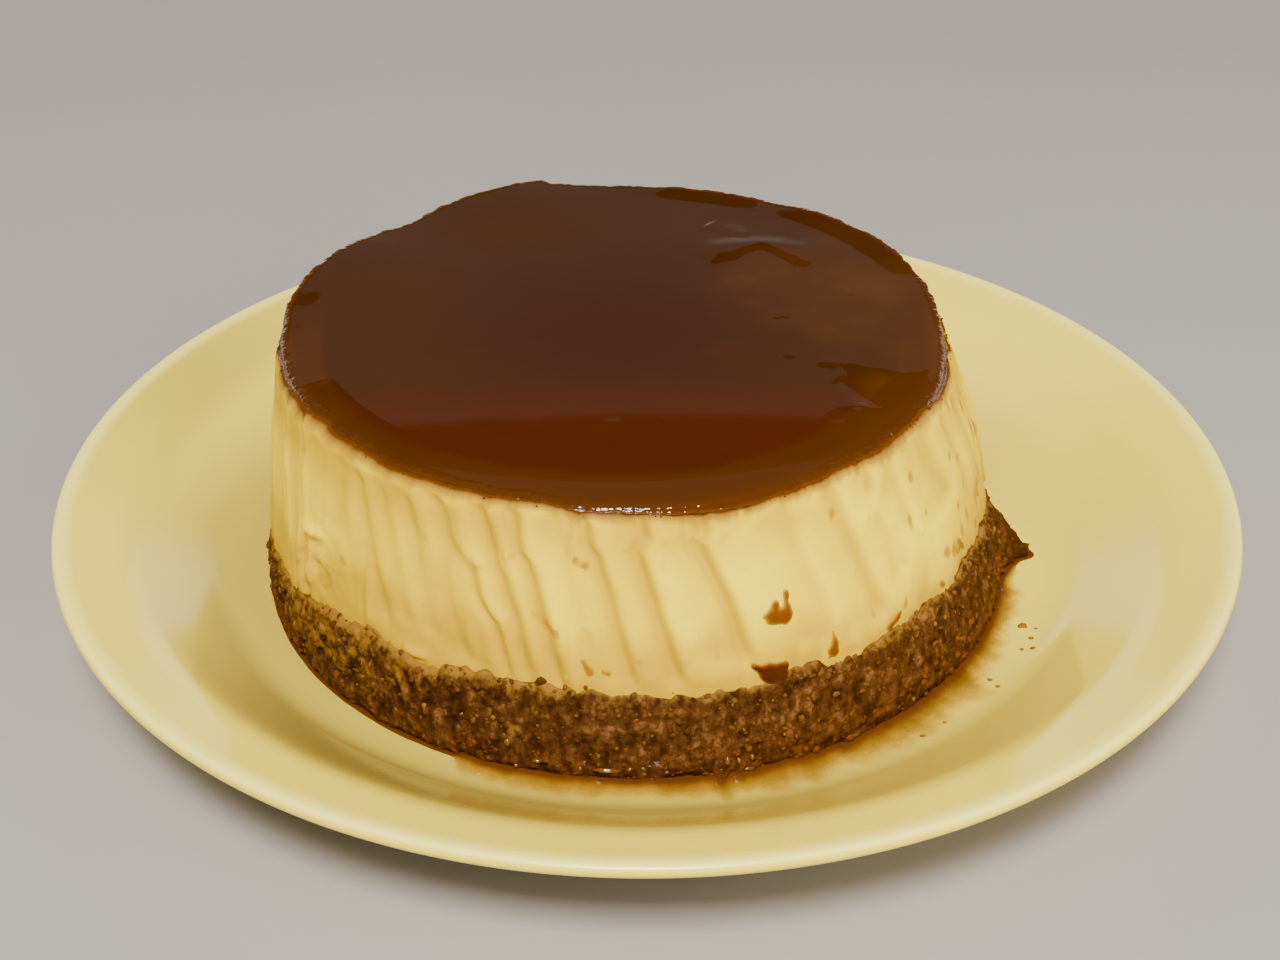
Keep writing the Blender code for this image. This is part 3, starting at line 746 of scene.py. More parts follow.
def glaze_finish(settings):
    """Glossy cream glaze over the foot's bare clay, deeper in the well and painted with shade there, thin on
    the lip and painted lighter there as a highlight.
    """
    look = Finish("cream_glaze")
    cloud = look.grain(14, 3)
    lip = look.height().between(PLATE_HEIGHT - 1.1 * MM, PLATE_HEIGHT)
    bare = 1 - look.height().between(0.35 * MM, 0.7 * MM)
    speck = (1 - look.speckle(520).between(0.05, 0.16)) * look.grain(90).between(0.62, 0.7)
    tone = cloud.between(0.3, 0.7) * 0.5
    deeper = tuple(c * k for c, k in zip(settings.glaze, (0.97, 0.94, 0.85)))
    body = tone.pick(tuple(settings.glaze), deeper)
    # Painted shade: the well takes the darker well colour, but not at the right, where the mask paints it as
    # more brightly lit.
    inside = (1 - look.across().between(FLOOR_RADIUS, 112 * MM)) * (1 - look.mask("fair"))
    body = inside.pick(body, tuple(settings.well))
    # Painted fill light at the back, in the cake's shadow.
    body = look.mask("rear").pick(body, tuple(settings.rear))
    # Painted shade and reflection along the well's bend and on parts of the rim.
    body = (look.mask("pooled") * 0.92).pick(body, tuple(settings.pooled))
    # Thin glaze on the lip, painted lighter as a highlight too.
    body = (lip * 0.75).pick(body, tuple(settings.thin_glaze_and_highlight))
    body = (speck * 0.35).pick(body, tuple(settings.speck))
    wipe = look.grain(55, 4, (1, 1, 1), 0.6)
    return look.done(
        Base_Color=bare.pick(body, tuple(settings.clay)),
        Roughness=(bare * 0.6).most(settings.roughness + 0.07 * (wipe - 0.4) + 0.22 * lip),
        Normal=look.bump(look.grain(60, 1), 0.02 * MM, 0.5),
        IOR=1.48,
    )


class FLAN_OT_plate(bpy.types.Operator):
    """Add the dinner plate"""
    bl_idname = "flan.plate"
    bl_label = "Plate"

    def execute(self, context):
        section, bearing = plate_section(), round_steps(360)
        out, height = section[:, :1], section[:, 1:]
        mesh = grid_mesh(
            "dinner_plate", polar((0, 0), bearing, out, height),
            low_pole=(0, 0, UNDER_HEIGHT), high_pole=(0, 0, FLOOR_HEIGHT))
        paint(mesh, **plate_masks(out, bearing))
        add_piece(mesh, glaze_finish(context.scene.flan_plate), "glaze", "plate")
        return {"FINISHED"}


# ---------------------------------------------------------------- cake outline

def axis(height):
    """The cake's centre at heights: it leans along two straight stretches."""
    heights = (BASE_HEIGHT, JOIN_HEIGHT, CARAMEL_EDGE)
    places = (BASE_CENTRE, JOIN_CENTRE, TOP_CENTRE)
    return tuple(np.interp(height, heights, [place[k] for place in places]) for k in (0, 1))


def join_height(bearing):
    """Height of the join: from its table on the seen side, in waves round the rest, and ragged on both."""
    phase = random.Random(3)
    waves = JOIN_HEIGHT + sum(size * np.sin(n * bearing + phase.uniform(0, TURN)) for n, size in HIDDEN_JOIN)
    seen = round_table(bearing, SEEN_JOIN, MM)
    away = np.abs(turned(bearing, math.radians(-78)))
    kept = 1 - smooth(away, math.radians(98), math.radians(112))
    around = outward(bearing) * JOIN_RADIUS
    ragged = 0.6 * MM * noise(around, 3.1 * MM, 31) + 0.55 * MM * noise(around, 1.4 * MM, 32)
    return waves + (seen - waves) * kept + ragged


def rear_mask(bearing):
    """1 round the back of the cake and 0 on its seen side."""
    return smooth(np.abs(turned(bearing, math.radians(-85))), math.radians(100.3), math.radians(126))


def creases():
    """Every crease as depth, half width, heights and bearings.

    The seen ones come from their table. The others stand at the folds that are
    drawn for the solids; each leans as they do, wanders, and every third has a
    short fork below the caramel.
    """
    lines = []
    for depth, wide, *line in SEEN_CREASES:
        heights, bearings = np.array(line).T
        lines.append((1.05 * depth * MM, 1.7 * wide * MM, heights * MM, np.radians(bearings)))
    draw = random.Random(FOLD_SEED)
    folds = list(SEEN_FOLDS)
    while folds[-1] < SEEN_FOLDS[0] + 360 - FOLD_SPACING[1]:
        folds.append(folds[-1] + draw.uniform(*FOLD_SPACING))
    depths = [draw.uniform(*FOLD_DEPTH) for _ in folds]
    heights = np.linspace(24, 66, 8) * MM
    for number in range(len(SEEN_FOLDS) + 2, len(folds)):
        wander = np.cumsum([draw.uniform(-0.45, 0.45) for _ in heights])
        line = np.radians(folds[number] + wander - wander.mean()) + FOLD_LEAN * (MIDDLE_HEIGHT - heights)
        lines.append((0.95 * depths[number], draw.uniform(0.9, 1.4) * MM, heights, line))
        if number % 3 == 0:
            fork = line[4:] + math.radians(draw.choice((-1.9, 1.9))) * np.linspace(0, 1, 4)
            lines.append((0.7 * depths[number], 0.8 * MM, heights[4:], fork))
    return lines


def crease_relief(bearing, height):
    """How far the creases set the custard in or out at points, and how much painted shade they get, from 0 to
    1.

    Across a crease, at a distance x, the face lies in by exp(-(x / w)^2), with w
    wider on the left than on the right. On its left the face leans in slowly, by
    exp(-((x + 2.4 w) / 2 w)^2), and on its right a soft ridge stands out, of the
    same kind. A crease fades over its last 2 mm.
    """
    relief, dark = 0 * bearing, 0 * bearing
    for depth, wide, heights, line in creases():
        middle = np.interp(height, heights, line)
        x = turned(bearing, middle) * JOIN_RADIUS / wide
        ends = smooth(height, heights[0] - 2 * MM, heights[0] + 2 * MM)
        ends = ends * (1 - smooth(height, heights[-1] - 2 * MM, heights[-1] + 2 * MM))
        x = np.clip(np.where(x < 0, x / 1.3, x / 0.85), -6, 6)
        ridge = 0.5 * np.exp(-(((x - 2.2) / 1.5) ** 2)) - 0.24 * np.exp(-(((x + 2.4) / 2.0) ** 2))
        relief = relief + depth * ends * (ridge - np.exp(-(x ** 2)))
        # Painted shade in each crease and broadly to its left.
        shade = 0.8 * np.exp(-(x ** 2)) + 0.35 * np.exp(-(((x + 1.8) / 1.6) ** 2))
        dark = np.maximum(dark, depth / MM * ends * shade)
    return relief, np.clip(dark, 0, 1)


def patch_distance(bearing, height, middle, up, wide, tall):
    """Distance from the middle of an oval on the cake's side, 1 on its outline; sizes are in millimetres."""
    across = turned(bearing, math.radians(middle)) * JOIN_RADIUS / (wide * MM)
    return np.hypot(across, (height - up * MM) / (tall * MM))


def flap_relief(bearing, height):
    """How far torn flaps stand out: exp(-(distance)^2.6) within each ragged outline; rough where torn."""
    at = points_at(bearing * JOIN_RADIUS, height)
    ragged = 0.22 * noise(at, 1.6 * MM, 55)
    torn = bell(bearing, -142, 4.5) * np.exp(-(((height - 37 * MM) / (8 * MM)) ** 2))
    total = torn * (0.55 * MM * noise(at, 2.4 * MM, 56) + 0.3 * MM * noise(at, 1.1 * MM, 57))
    for middle, up, wide, tall, out in FLAPS:
        distance = patch_distance(bearing, height, middle, up, wide, tall) * (1 + ragged)
        total = total + out * MM * np.exp(-np.minimum(distance, 3) ** 2.6)
    return total


def shoulder(bearing, height):
    """How far the side reaches out (above 0) or is rounded in (below 0) by the cap's shape over its top."""
    reach = rim_value(bearing, 3)
    rounded = cap_share(CAKE_HEIGHT - dip_at_rim(bearing) - height) - 1
    return 0.75 * reach * smooth(height, 46 * MM, 63 * MM) + TOP_RADIUS * rounded * cap_front(bearing)


def custard_side(bearing, height):
    """Points of the custard's side at bearings and heights, with the painted shade of their creases.

    The side runs straight from the join to the caramel and bulges by half a
    millimetre between them. On it come the creases, ripples that run along the
    folds, slow and fine noise, the flaps, the shoulder and a few small pits.
    """
    upward = np.clip((height - JOIN_HEIGHT) / (CARAMEL_EDGE - JOIN_HEIGHT), -0.2, 1)
    radius = JOIN_RADIUS + upward * (TOP_RADIUS - JOIN_RADIUS)
    radius = radius + 0.5 * MM * np.sin(math.pi * np.clip(upward, 0, 1))
    relief, dark = crease_relief(bearing, height)
    relief = relief * (1 - 0.7 * smooth(height, 61.5 * MM, 64 * MM))
    along_folds = bearing - FOLD_LEAN * (MIDDLE_HEIGHT - height)
    around = points_at(along_folds * JOIN_RADIUS, height * 0.14)
    ripple = bpy.context.scene.flan_custard.ripple
    relief = relief + ripple * (noise(around, 2.6 * MM, 44) + 0.5 * noise(around, 1.2 * MM, 45))
    spot = polar(axis(height), bearing, radius, height)
    relief = relief + 0.22 * MM * noise(spot, 9 * MM, 46) + 0.05 * MM * noise(spot, 2.2 * MM, 47)
    relief = relief + flap_relief(bearing, height) + shoulder(bearing, height)
    near, mark = cells(spot, 4.6 * MM, 49)
    pit = np.clip(1 - near / 0.14, 0, 1) * (mark > 0.8)
    return polar(axis(height), bearing, radius + relief - 0.3 * MM * pit, height), dark


def stain_mask(bearing, height):
    """Sum of the stains, each 1 at its middle and falling as exp(-(distance)^3), ragged at the edge."""
    total = 0 * bearing
    at = points_at(bearing * JOIN_RADIUS, height)
    ragged = 0.28 * noise(at, 1.1 * MM, 51) + 0.18 * noise(at, 0.55 * MM, 52)
    for middle, up, wide, tall, strength in STAINS:
        distance = patch_distance(bearing, height, middle, up, wide, tall) * (1 + ragged)
        total = total + strength * np.exp(-np.minimum(distance, 4) ** 3)
    return np.clip(total, 0, 1)


def scattered_stains(bearing, height):
    """Faint small dots all round, as the table gives for the seen side only."""
    at = points_at(bearing * JOIN_RADIUS, height)
    near, mark = cells(at, 6.5 * MM, 53)
    return np.clip(1.3 - near / 0.1, 0, 1) * (mark > 0.66) * 0.4


def custard_masks(bearing, height, edge, crease, reach):
    """The custard's masks at bearings and heights, above the height of its lower edge.

    Soak falls off below the caramel as exp(-d / reach), in runs of uneven length,
    and goes further down the creases. Tinge comes from the sponge and the caramel
    and falls off in the same way. Deeper is painted shade, a deeper colour low down,
    below the caramel and at the far left and right, with less of it at the front
    right as painted light.
    """
    below_cap, above = cap_edge(bearing) - height, height - edge
    runs = flat_noise(bearing * TOP_RADIUS, 0.25 * height, 2.6 * MM, 62)
    runs = runs + 0.5 * flat_noise(bearing * TOP_RADIUS, 0.4 * height, 1.1 * MM, 64)
    soak = np.exp(-below_cap / (reach * round_table(bearing, SOAK_REACH, 1) * (1 + 0.25 * runs)))
    soak = soak + 0.5 * crease * np.exp(-below_cap / (2.8 * MM)) * smooth(runs, -0.5, 0.5)
    blots = flat_noise(bearing * JOIN_RADIUS, height, 3 * MM, 63)
    wide_blots = flat_noise(bearing * JOIN_RADIUS, height, 8 * MM, 65, 2)
    # Painted shade: darker low down and below the caramel, less at the front right, more at the far left and
    # right.
    deeper = 0.95 * (1 - smooth(above, 5 * MM, 17 * MM)) + 0.6 * (1 - smooth(below_cap, 4 * MM, 14 * MM))
    deeper = deeper * (1 + 0.35 * wide_blots) * (1 - 0.7 * bell(bearing, -40.1, 25.8))
    deeper = deeper + 0.35 * bell(bearing, -166.2, 45.8) + 0.3 * bell(bearing, -11.5, 17.2)
    tinge = np.exp(-above / (2.9 * MM)) * (1 + 0.7 * blots) + 0.25 * np.exp(-above / (7 * MM))
    tinge = tinge + 0.17 * np.exp(-below_cap / (2.5 * MM)) * (1 + 0.5 * blots)
    return {
        "crease": crease, "soak": soak, "deeper": np.clip(deeper, 0, 1), "rear": rear_mask(bearing),
        "tinge": np.clip(tinge + 0.22 * smooth(wide_blots, 0.1, 0.9), 0, 1),
        "wet": np.clip(flap_relief(bearing, height) / (0.3 * MM), 0, 1),
        "stain": stain_mask(bearing, height) + scattered_stains(bearing, height),
    }


def custard_finish(settings):
    """Satin custard with painted shade in the folds, low down and at the sides, a paler painted fill at the
    back, and caramel soaked in below the cap and in stains.
    """
    look = Finish("set_custard")
    crease, soak, stain, tinge, wet, deeper, rear = (
        look.mask(name) for name in ("crease", "soak", "stain", "tinge", "wet", "deeper", "rear"))
    cloud = look.grain(70, 3)
    fine = look.grain(420, 2)
    pale, deep, tan, brown = (tuple(c) for c in (settings.pale, settings.deep, settings.tan, settings.brown))
    faint = tuple(0.65 * d + 0.35 * t for d, t in zip(deep, tan))
    # Painted shade: the deeper mask picks the shaded colours, with some random cloud.
    body = (deeper + cloud.between(0.35, 0.75) * 0.12 + fine.between(0.4, 0.8) * 0.04).pick(
        # Round the back, paler painted-fill copies take the place of the face and fold colours.
        rear.pick(pale, tuple(settings.dim_back_custard)), rear.pick(deep, tuple(settings.dim_back_folds)))
    # Painted shade down in the creases.
    body = (crease * 0.8).pick(body, faint)
    body = (tinge + 0.25 * (fine - 0.5) * tinge).between(0.0, 1.0).pick(body, faint)
    body = stain.between(0.05, 0.55).pick(body, faint)
    body = stain.between(0.5, 1.0).pick(body, tan)
    stops = (0.0, pale), (0.15, faint), (0.45, tuple(settings.amber)), (0.8, brown)
    blend = look.node("ValToRGB", {"stops": stops}, {0: soak})
    body = soak.between(0.0, 0.3).pick(body, blend)
    damp = look.grain(150, 2, (1, 1, 0.25)).between(0.45, 0.65)
    glint = look.grain(700, 1).between(0.60, 0.68) * soak.between(0.06, 0.3)
    return look.done(
        Base_Color=body,
        Roughness=0.46 - 0.12 * damp,
        Coat_Weight=(glint * 0.7).most(wet * damp * 0.35),
        Coat_Roughness=0.14,
        Coat_IOR=1.35,
        Normal=look.bump(look.grain(900, 3), 0.03 * MM, 0.6),
        IOR=1.38,
        Specular_IOR_Level=0.03,
        Subsurface_Weight=0.32,
        Subsurface_Radius=(1.0, 0.6, 0.12),
        Subsurface_Scale=1.1 * MM,
    )


class FLAN_OT_custard(bpy.types.Operator):
    """Add the custard layer, with the folds of its lining paper"""
    bl_idname = "flan.custard"
    bl_label = "Custard"

    def execute(self, context):
        settings = context.scene.flan_custard
        up = np.concatenate([np.linspace(0, 0.93, 66), np.linspace(0.937, 1, 14)])[:, None]
        bearing, up = np.broadcast_arrays(round_steps(1230), up)
        edge = join_height(bearing) - 0.4 * MM
        height = edge + up * (cap_edge(bearing) + 0.1 * MM - edge)
        points, crease = custard_side(bearing, height)
        bottom = [polar(JOIN_CENTRE, bearing[0], part * JOIN_RADIUS, JOIN_HEIGHT - drop * MM)
                  for part, drop in ((0.3, 1), (0.6, 1), (0.9, 2.5))]
        bottom.append(polar(JOIN_CENTRE, bearing[0], 0.965 * JOIN_RADIUS, edge[0] - 1.5 * MM))
        seat = [polar(TOP_CENTRE, bearing[0], part * TOP_RADIUS, CAKE_HEIGHT - drop * MM)
                for part, drop in ((0.965, 4.1), (0.93, 3.9), (0.5, 2.9))]
        mesh = grid_mesh(
            "custard_layer", np.concatenate([bottom, points, seat]),
            low_pole=(*JOIN_CENTRE, JOIN_HEIGHT - 1 * MM), high_pole=(*TOP_CENTRE, CAKE_HEIGHT - 2.8 * MM))
        masks = custard_masks(bearing, height, edge, crease, settings.soak)
        paint(mesh, (len(bottom), len(seat)), **masks)
        add_piece(mesh, custard_finish(settings), "custard", "custard")
        return {"FINISHED"}


# ---------------------------------------------------------------- caramel

def cap_edge(bearing):
    """Height of the caramel's lower edge: slow waves and a fine ragged fringe over its table."""
    phase = random.Random(5)
    table = ((9, 0.16 * MM), (23, 0.22 * MM), (31, 0.18 * MM))
    waves = sum(size * np.sin(n * bearing + phase.uniform(0, TURN)) for n, size in table)
    around = outward(bearing) * TOP_RADIUS
    fringe = 0.20 * MM * noise(around, 2.2 * MM, 71) + 0.12 * MM * noise(around, 1.0 * MM, 72)
    calm = 1 - 0.65 * cap_front(bearing)
    return CARAMEL_EDGE + round_table(bearing, SHOULDER, MM) + (waves + fringe) * calm


def rim_value(bearing, column):
    """A column of the rim's table at bearings, in metres."""
    return round_table(bearing, [(row[0], row[column]) for row in CAP_RIM], MM)


def cap_front(bearing):
    """1 round the front, where the cap's shoulder is rounded, and 0 round the back."""
    return smooth(-np.sin(bearing), -0.25, 0.35)


def cap_profile():
    """The shoulder's section: shares of the cap's radius, and how far each lies below its middle.

    The slopes of the table, with straight lines between them, are summed outwards.
    """
    shares, slopes = np.array(CAP_SLOPES).T
    steps = 800
    fine = np.linspace(0, 1, steps + 1)
    slope = np.tan(np.interp(fine, shares, np.radians(slopes)))
    return fine, np.concatenate([[0], np.cumsum((slope[1:] + slope[:-1]) / 2)]) * TOP_RADIUS / steps


def cap_drop(part):
    """How far the cap's top lies below its middle on the front side, by share of its radius."""
    return np.interp(part, *cap_profile())


def cap_share(drop):
    """The share of the cap's radius at which its front lies that far below its middle."""
    fine, drops = cap_profile()
    return np.interp(drop, drops, fine)


def into_dip(x, y):
    """Distances into the dip at the front right, from its left and from its far border."""
    flat = points_at(x, y)
    x = x + 0.6 * MM * noise(flat, 3.2 * MM, 79)
    y = y + 0.5 * MM * noise(flat, 2.6 * MM, 80)
    left = np.interp(y, [at * MM for at, _ in DIP_LEFT], [value * MM for _, value in DIP_LEFT])
    far = np.interp(x, [at * MM for at, _ in DIP_FAR], [value * MM for _, value in DIP_FAR])
    return x - left, far - y


def dip_depth(x, y):
    """Depth of the dip: it falls forward from its far border, ever less steeply, over 30 mm.

    Its left side is a step at the far border and spreads to a slow slope in front.
    """
    left, far = into_dip(x, y)
    run = np.clip(far, 0, 30 * MM)
    spread_out = 1.5 * MM + 1.2 * np.clip(run - 8 * MM, 0, None)
    return 0.03 * run * (1 - run / (60 * MM)) * smooth((left + 0.6 * MM) / spread_out, 0, 1)


def dip_at_rim(bearing):
    """Depth of the dip at the cap's rim."""
    radius = 0.97 * TOP_RADIUS
    return dip_depth(TOP_CENTRE[0] + radius * np.cos(bearing), TOP_CENTRE[1] + radius * np.sin(bearing))


def along_line(x, y, points):
    """Signed distance from a line of points, above 0 on its left, and how far along it, from 0 to 1."""
    best, side, along = np.full(np.shape(x), 1.0), 0 * x, 0 * x
    for number, ((x0, y0), (x1, y1)) in enumerate(zip(points, points[1:])):
        ax, ay, bx, by = x - x0 * MM, y - y0 * MM, (x1 - x0) * MM, (y1 - y0) * MM
        t = np.clip((ax * bx + ay * by) / (bx * bx + by * by), 0, 1)
        distance = np.hypot(ax - t * bx, ay - t * by)
        near = distance < best
        best = np.where(near, distance, best)
        side = np.where(near, np.sign(bx * ay - by * ax), side)
        along = np.where(near, (number + t) / (len(points) - 1), along)
    return best * side, along


def wrinkles(x, y):
    """Height of the caramel's skin over the flat: wrinkles, blisters and slow waves.

    Across a wrinkle, at a distance d from its crest, the skin stands exp(-(d / w)^2)
    high, with w small before the crest and larger behind it; noise shifts its line.
    A blister is a low dome (1 - r^2)^2.
    """
    flat = points_at(x, y)
    warped = x + 0.5 * MM * noise(flat, 5 * MM, 73), y + 0.5 * MM * noise(flat, 4 * MM, 74)
    total = 0 * x
    for lift, before, behind, *points in WRINKLES:
        d, along = along_line(*warped, points)
        ends = smooth(along, 0, 0.2) * (1 - smooth(along, 0.8, 1))
        uneven = 1 + 0.3 * noise(flat, 9 * MM, 76)
        wide = np.where(d < 0, before, behind) * MM
        total = total + lift * MM * ends * uneven * np.exp(-((d / wide) ** 2))
    for cx, cy, wide, tall, lift in BLISTERS:
        r2 = ((x - cx * MM) / (wide * MM)) ** 2 + ((y - cy * MM) / (tall * MM)) ** 2
        total = total + lift * MM * np.clip(1 - r2, 0, 1) ** 2
    total = total * (bpy.context.scene.flan_caramel.wrinkle / WRINKLE_HEIGHT)
    return total + 0.02 * MM * noise(flat, 34 * MM, 75)


def oval(x, y, middle, half):
    """1 at the middle of an oval patch of the top, falling as exp(-(distance)^2); both are in millimetres."""
    across, along = (x - middle[0] * MM) / (half[0] * MM), (y - middle[1] * MM) / (half[1] * MM)
    return np.exp(-(across ** 2 + along ** 2))


def amber_mask(x, y, part):
    """How thin the caramel is: more at the right, below the wrinkle, in the dip and on the front shoulder."""
    blot = 0.12 * rough(points_at(x, y), 16 * MM, 77)
    left, far = into_dip(x, y)
    low = 0.4 * smooth(left, -2 * MM, 12 * MM) * smooth(far, -1 * MM, 5 * MM)
    front = cap_front(np.arctan2(y - TOP_CENTRE[1], x - TOP_CENTRE[0]))
    thinner = 0.36 * oval(x, y, (54, 6), (34, 46)) + 0.20 * oval(x, y, (26, 21), (13, 9))
    return thinner + low + 0.6 * smooth(part, 0.92, 0.98) * front + blot


def caramel_masks(y, part, bearing):
    """Where the cap gets its painted glow near the front, is thin at its edge, is on its brim, or gets its
    painted reflection in the bend inside its shoulder.
    """
    front = cap_front(bearing)
    inner = 0.84 + 0.06 * bell(bearing, -138, 28)
    return {
        "front": smooth((TOP_CENTRE[1] - y) / TOP_RADIUS, 0.30, 0.62),
        "thin": np.exp((part - 1) * TOP_RADIUS / (0.8 * MM)) * (0.3 + 0.7 * front),
        "brim": smooth(part, 0.966, 0.982),
        "bend": smooth(part, inner, inner + 0.035) * front,
    }


def caramel_finish(settings):
    """Dark glossy caramel, amber where it is thin, with a painted glow towards the front, a painted
    reflection in the bend, and a finely uneven brim that sparkles.
    """
    look = Finish("set_caramel")
    outer, front, amber, thin, brim, bend = (
        look.mask(name) for name in ("outer", "front", "amber", "thin", "brim", "bend"))
    body = outer.pick(tuple(settings.middle), tuple(settings.outer))
    # Painted glow towards the front.
    body = front.pick(body, tuple(settings.front))
    body = (look.grain(24, 3).between(0.35, 0.7) * 0.2).pick(body, tuple(settings.middle))
    body = amber.between(0.05, 0.95).pick(body, tuple(settings.amber))
    ragged = look.grain(380, 3)
    # Painted reflection in the bend inside the front shoulder.
    body = (bend * 0.85).pick(body, tuple(settings.bend))
    body = brim.pick(body, tuple(settings.brim))
    body = (thin + 0.4 * (ragged - 0.5)).between(0.35, 1.0).pick(body, tuple(settings.thin))
    smear = look.grain(45, 4, (1, 1.6, 1), 0.6).between(0.5, 0.75)
    return look.done(
        Base_Color=body,
        Roughness=0.018 + 0.03 * smear + 0.04 * brim,
        Normal=look.bump(look.grain(150, 2) + brim * look.grain(900, 1) * 220, 0.003 * MM, 0.3),
        IOR=1.35,
    )


def cap_surface(bearing, part, scallop):
    """Points of the cap by bearing and share of its radius, and how much each radius is drawn in.

    The front follows the shoulder's section down to the edge. The back stays flat,
    with a rim that rises, reaches out and turns up as its table says, smoothed over
    10 degrees further in. The edge itself is uneven by smooth noise.
    """
    around = outward(bearing) * TOP_RADIUS
    front, edge = cap_front(bearing), cap_edge(bearing)
    last = 1 - front * (1 - cap_share(CAKE_HEIGHT - dip_at_rim(bearing) - edge))
    soft = np.radians((-5, -2.5, 0, 2.5, 5))
    rise = sum(rim_value(bearing + turn, 1) for turn in soft) / len(soft)
    near_reach = sum(rim_value(bearing + turn, 3) for turn in soft) / len(soft)
    turned_up, reach = rim_value(bearing, 2), rim_value(bearing, 3)
    beads = 1.5 * np.sqrt(np.abs(noise(around, 3.2 * MM, 81))) - 0.9 + 0.5 * noise(around, 1.2 * MM, 82)
    beads = (beads + 0.5 * noise(around, 6 * MM, 84) * (1 - front)) * (1 - 0.85 * front)
    stand = near_reach * smooth(part, 0.45, 0.93) + (reach - near_reach) * smooth(part, 0.93, 1.0)
    radius = part * last * TOP_RADIUS + stand + scallop * beads * smooth(part, 0.965, 1.0)
    x, y = TOP_CENTRE[0] + radius * np.cos(bearing), TOP_CENTRE[1] + radius * np.sin(bearing)
    lip = rise * smooth(part, 0.45, 1.0) + turned_up * smooth(part, 0.885, 0.99)
    ragged = 0.10 * MM * noise(around, 1.6 * MM, 83) * smooth(part, 0.97, 0.99)
    height = CAKE_HEIGHT - cap_drop(part * last) * (0.03 + 0.97 * front) + lip + ragged
    height = height + wrinkles(x, y) * (1 - smooth(part, 0.9, 0.97)) - dip_depth(x, y)
    height = height + (edge - height) * smooth(part, 0.9885, 1.0) - 0.25 * MM * (part == 1)
    return points_at(x, y, height), last


class FLAN_OT_caramel(bpy.types.Operator):
    """Add the caramel cap, with its wrinkles and its uneven edge"""
    bl_idname = "flan.caramel"
    bl_label = "Caramel"

    def execute(self, context):
        settings = context.scene.flan_caramel
        bearing = round_steps(960)
        shoulder_parts = 1 - 0.16 * np.linspace(0, 1, 50) ** 1.5
        part = np.concatenate([shoulder_parts, np.linspace(0.834, 0.04, 100)])[:, None]
        top, last = cap_surface(bearing, part, settings.scallop)
        under = [polar(TOP_CENTRE, bearing[0], share_of * last[0] * TOP_RADIUS, CAKE_HEIGHT - drop * MM)
                 for share_of, drop in ((0.5, 2.6), (0.90, 3.0), (0.945, 3.0))]
        mesh = grid_mesh(
            "caramel_cap", np.concatenate([under, top]),
            low_pole=(*TOP_CENTRE, CAKE_HEIGHT - 2.5 * MM), high_pole=(*TOP_CENTRE, top[-1, :, 2].mean()))
        x, y, rows = top[..., 0], top[..., 1], (len(under), 0)
        paint(mesh, rows, 1, amber=amber_mask(x, y, part), outer=smooth(part, 0.1, 0.75))
        paint(mesh, rows, **caramel_masks(y, part, bearing))
        add_piece(mesh, caramel_finish(settings), "caramel", "caramel_top")
        return {"FINISHED"}


# ---------------------------------------------------------------- sponge

def clump(bearing, down):
    """How far clumps stand out: exp(-|d / width|^2.4) round each bearing, growing downwards as t^1.3."""
    around = points_at(bearing * BASE_RADIUS, down * SPONGE_HEIGHT)
    total = 0 * bearing
    for middle, wide, reach, begin in CLUMPS:
        ragged = 1 + 0.24 * noise(around, 0.35 * math.radians(wide) * BASE_RADIUS, 91)
        away = np.abs(turned(bearing, math.radians(middle))) / math.radians(wide)
        point = np.exp(-np.minimum(away, 4) ** 2.4)
        total = total + reach * MM * point * ragged * np.clip((down - begin) / (1 - begin), 0, 1) ** 1.3
    return total


def sponge_side(bearing, down):
    """Points of the sponge's side by bearing and share of the way down, and its relief from about -1 to 1.

    Lumps are smooth noise of 4 and 1.6 mm, granules the rounded tops of small
    random cells, and pores are pushed in softly where a third noise is high,
    larger on the left than on the right.
    """
    top = join_height(bearing)
    height = top + down * (BASE_HEIGHT - top)
    stand = np.interp(down, [row for row, _ in CRUMB_ROWS], [out * MM for _, out in CRUMB_ROWS])
    stand = stand * smooth(down, -0.05, 0.08)
    drawn_in = 1.9 * bell(bearing, 8, 12) - 0.15 * bell(bearing, -140, 24) * smooth(down, 0.3, 0.9)
    radius = JOIN_RADIUS + down * (BASE_RADIUS - JOIN_RADIUS) + stand - drawn_in * MM
    centre = axis(JOIN_HEIGHT + down * (BASE_HEIGHT - JOIN_HEIGHT))
    spot = polar(centre, bearing, radius, height)
    granule, _ = cells(spot, 1.3 * MM, 95)
    left = bell(bearing, -150, 45)
    open_crumb = noise(spot, 2.1 * MM, 99) + 0.4 * noise(spot, 1.1 * MM, 96)
    open_crumb = open_crumb + 0.6 * left * noise(spot, 3.4 * MM, 94)
    hole = smooth(open_crumb, 0.25 - 0.15 * left, 1.0 - 0.2 * left)
    relief = 0.55 * noise(spot, 4.2 * MM, 97) * (0.6 + left) + 0.5 * noise(spot, 1.7 * MM, 98)
    relief = relief + 0.45 * (0.62 - granule ** 1.5) - (0.6 + 0.5 * left) * hole
    calm = smooth(down, -0.02, 0.05) * (1 - 0.25 * smooth(down, 0.8, 1.0))
    size = bpy.context.scene.flan_sponge.relief
    out = radius + size * calm * (relief - 0.1) + clump(bearing, down)
    return polar(centre, bearing, out, height), relief


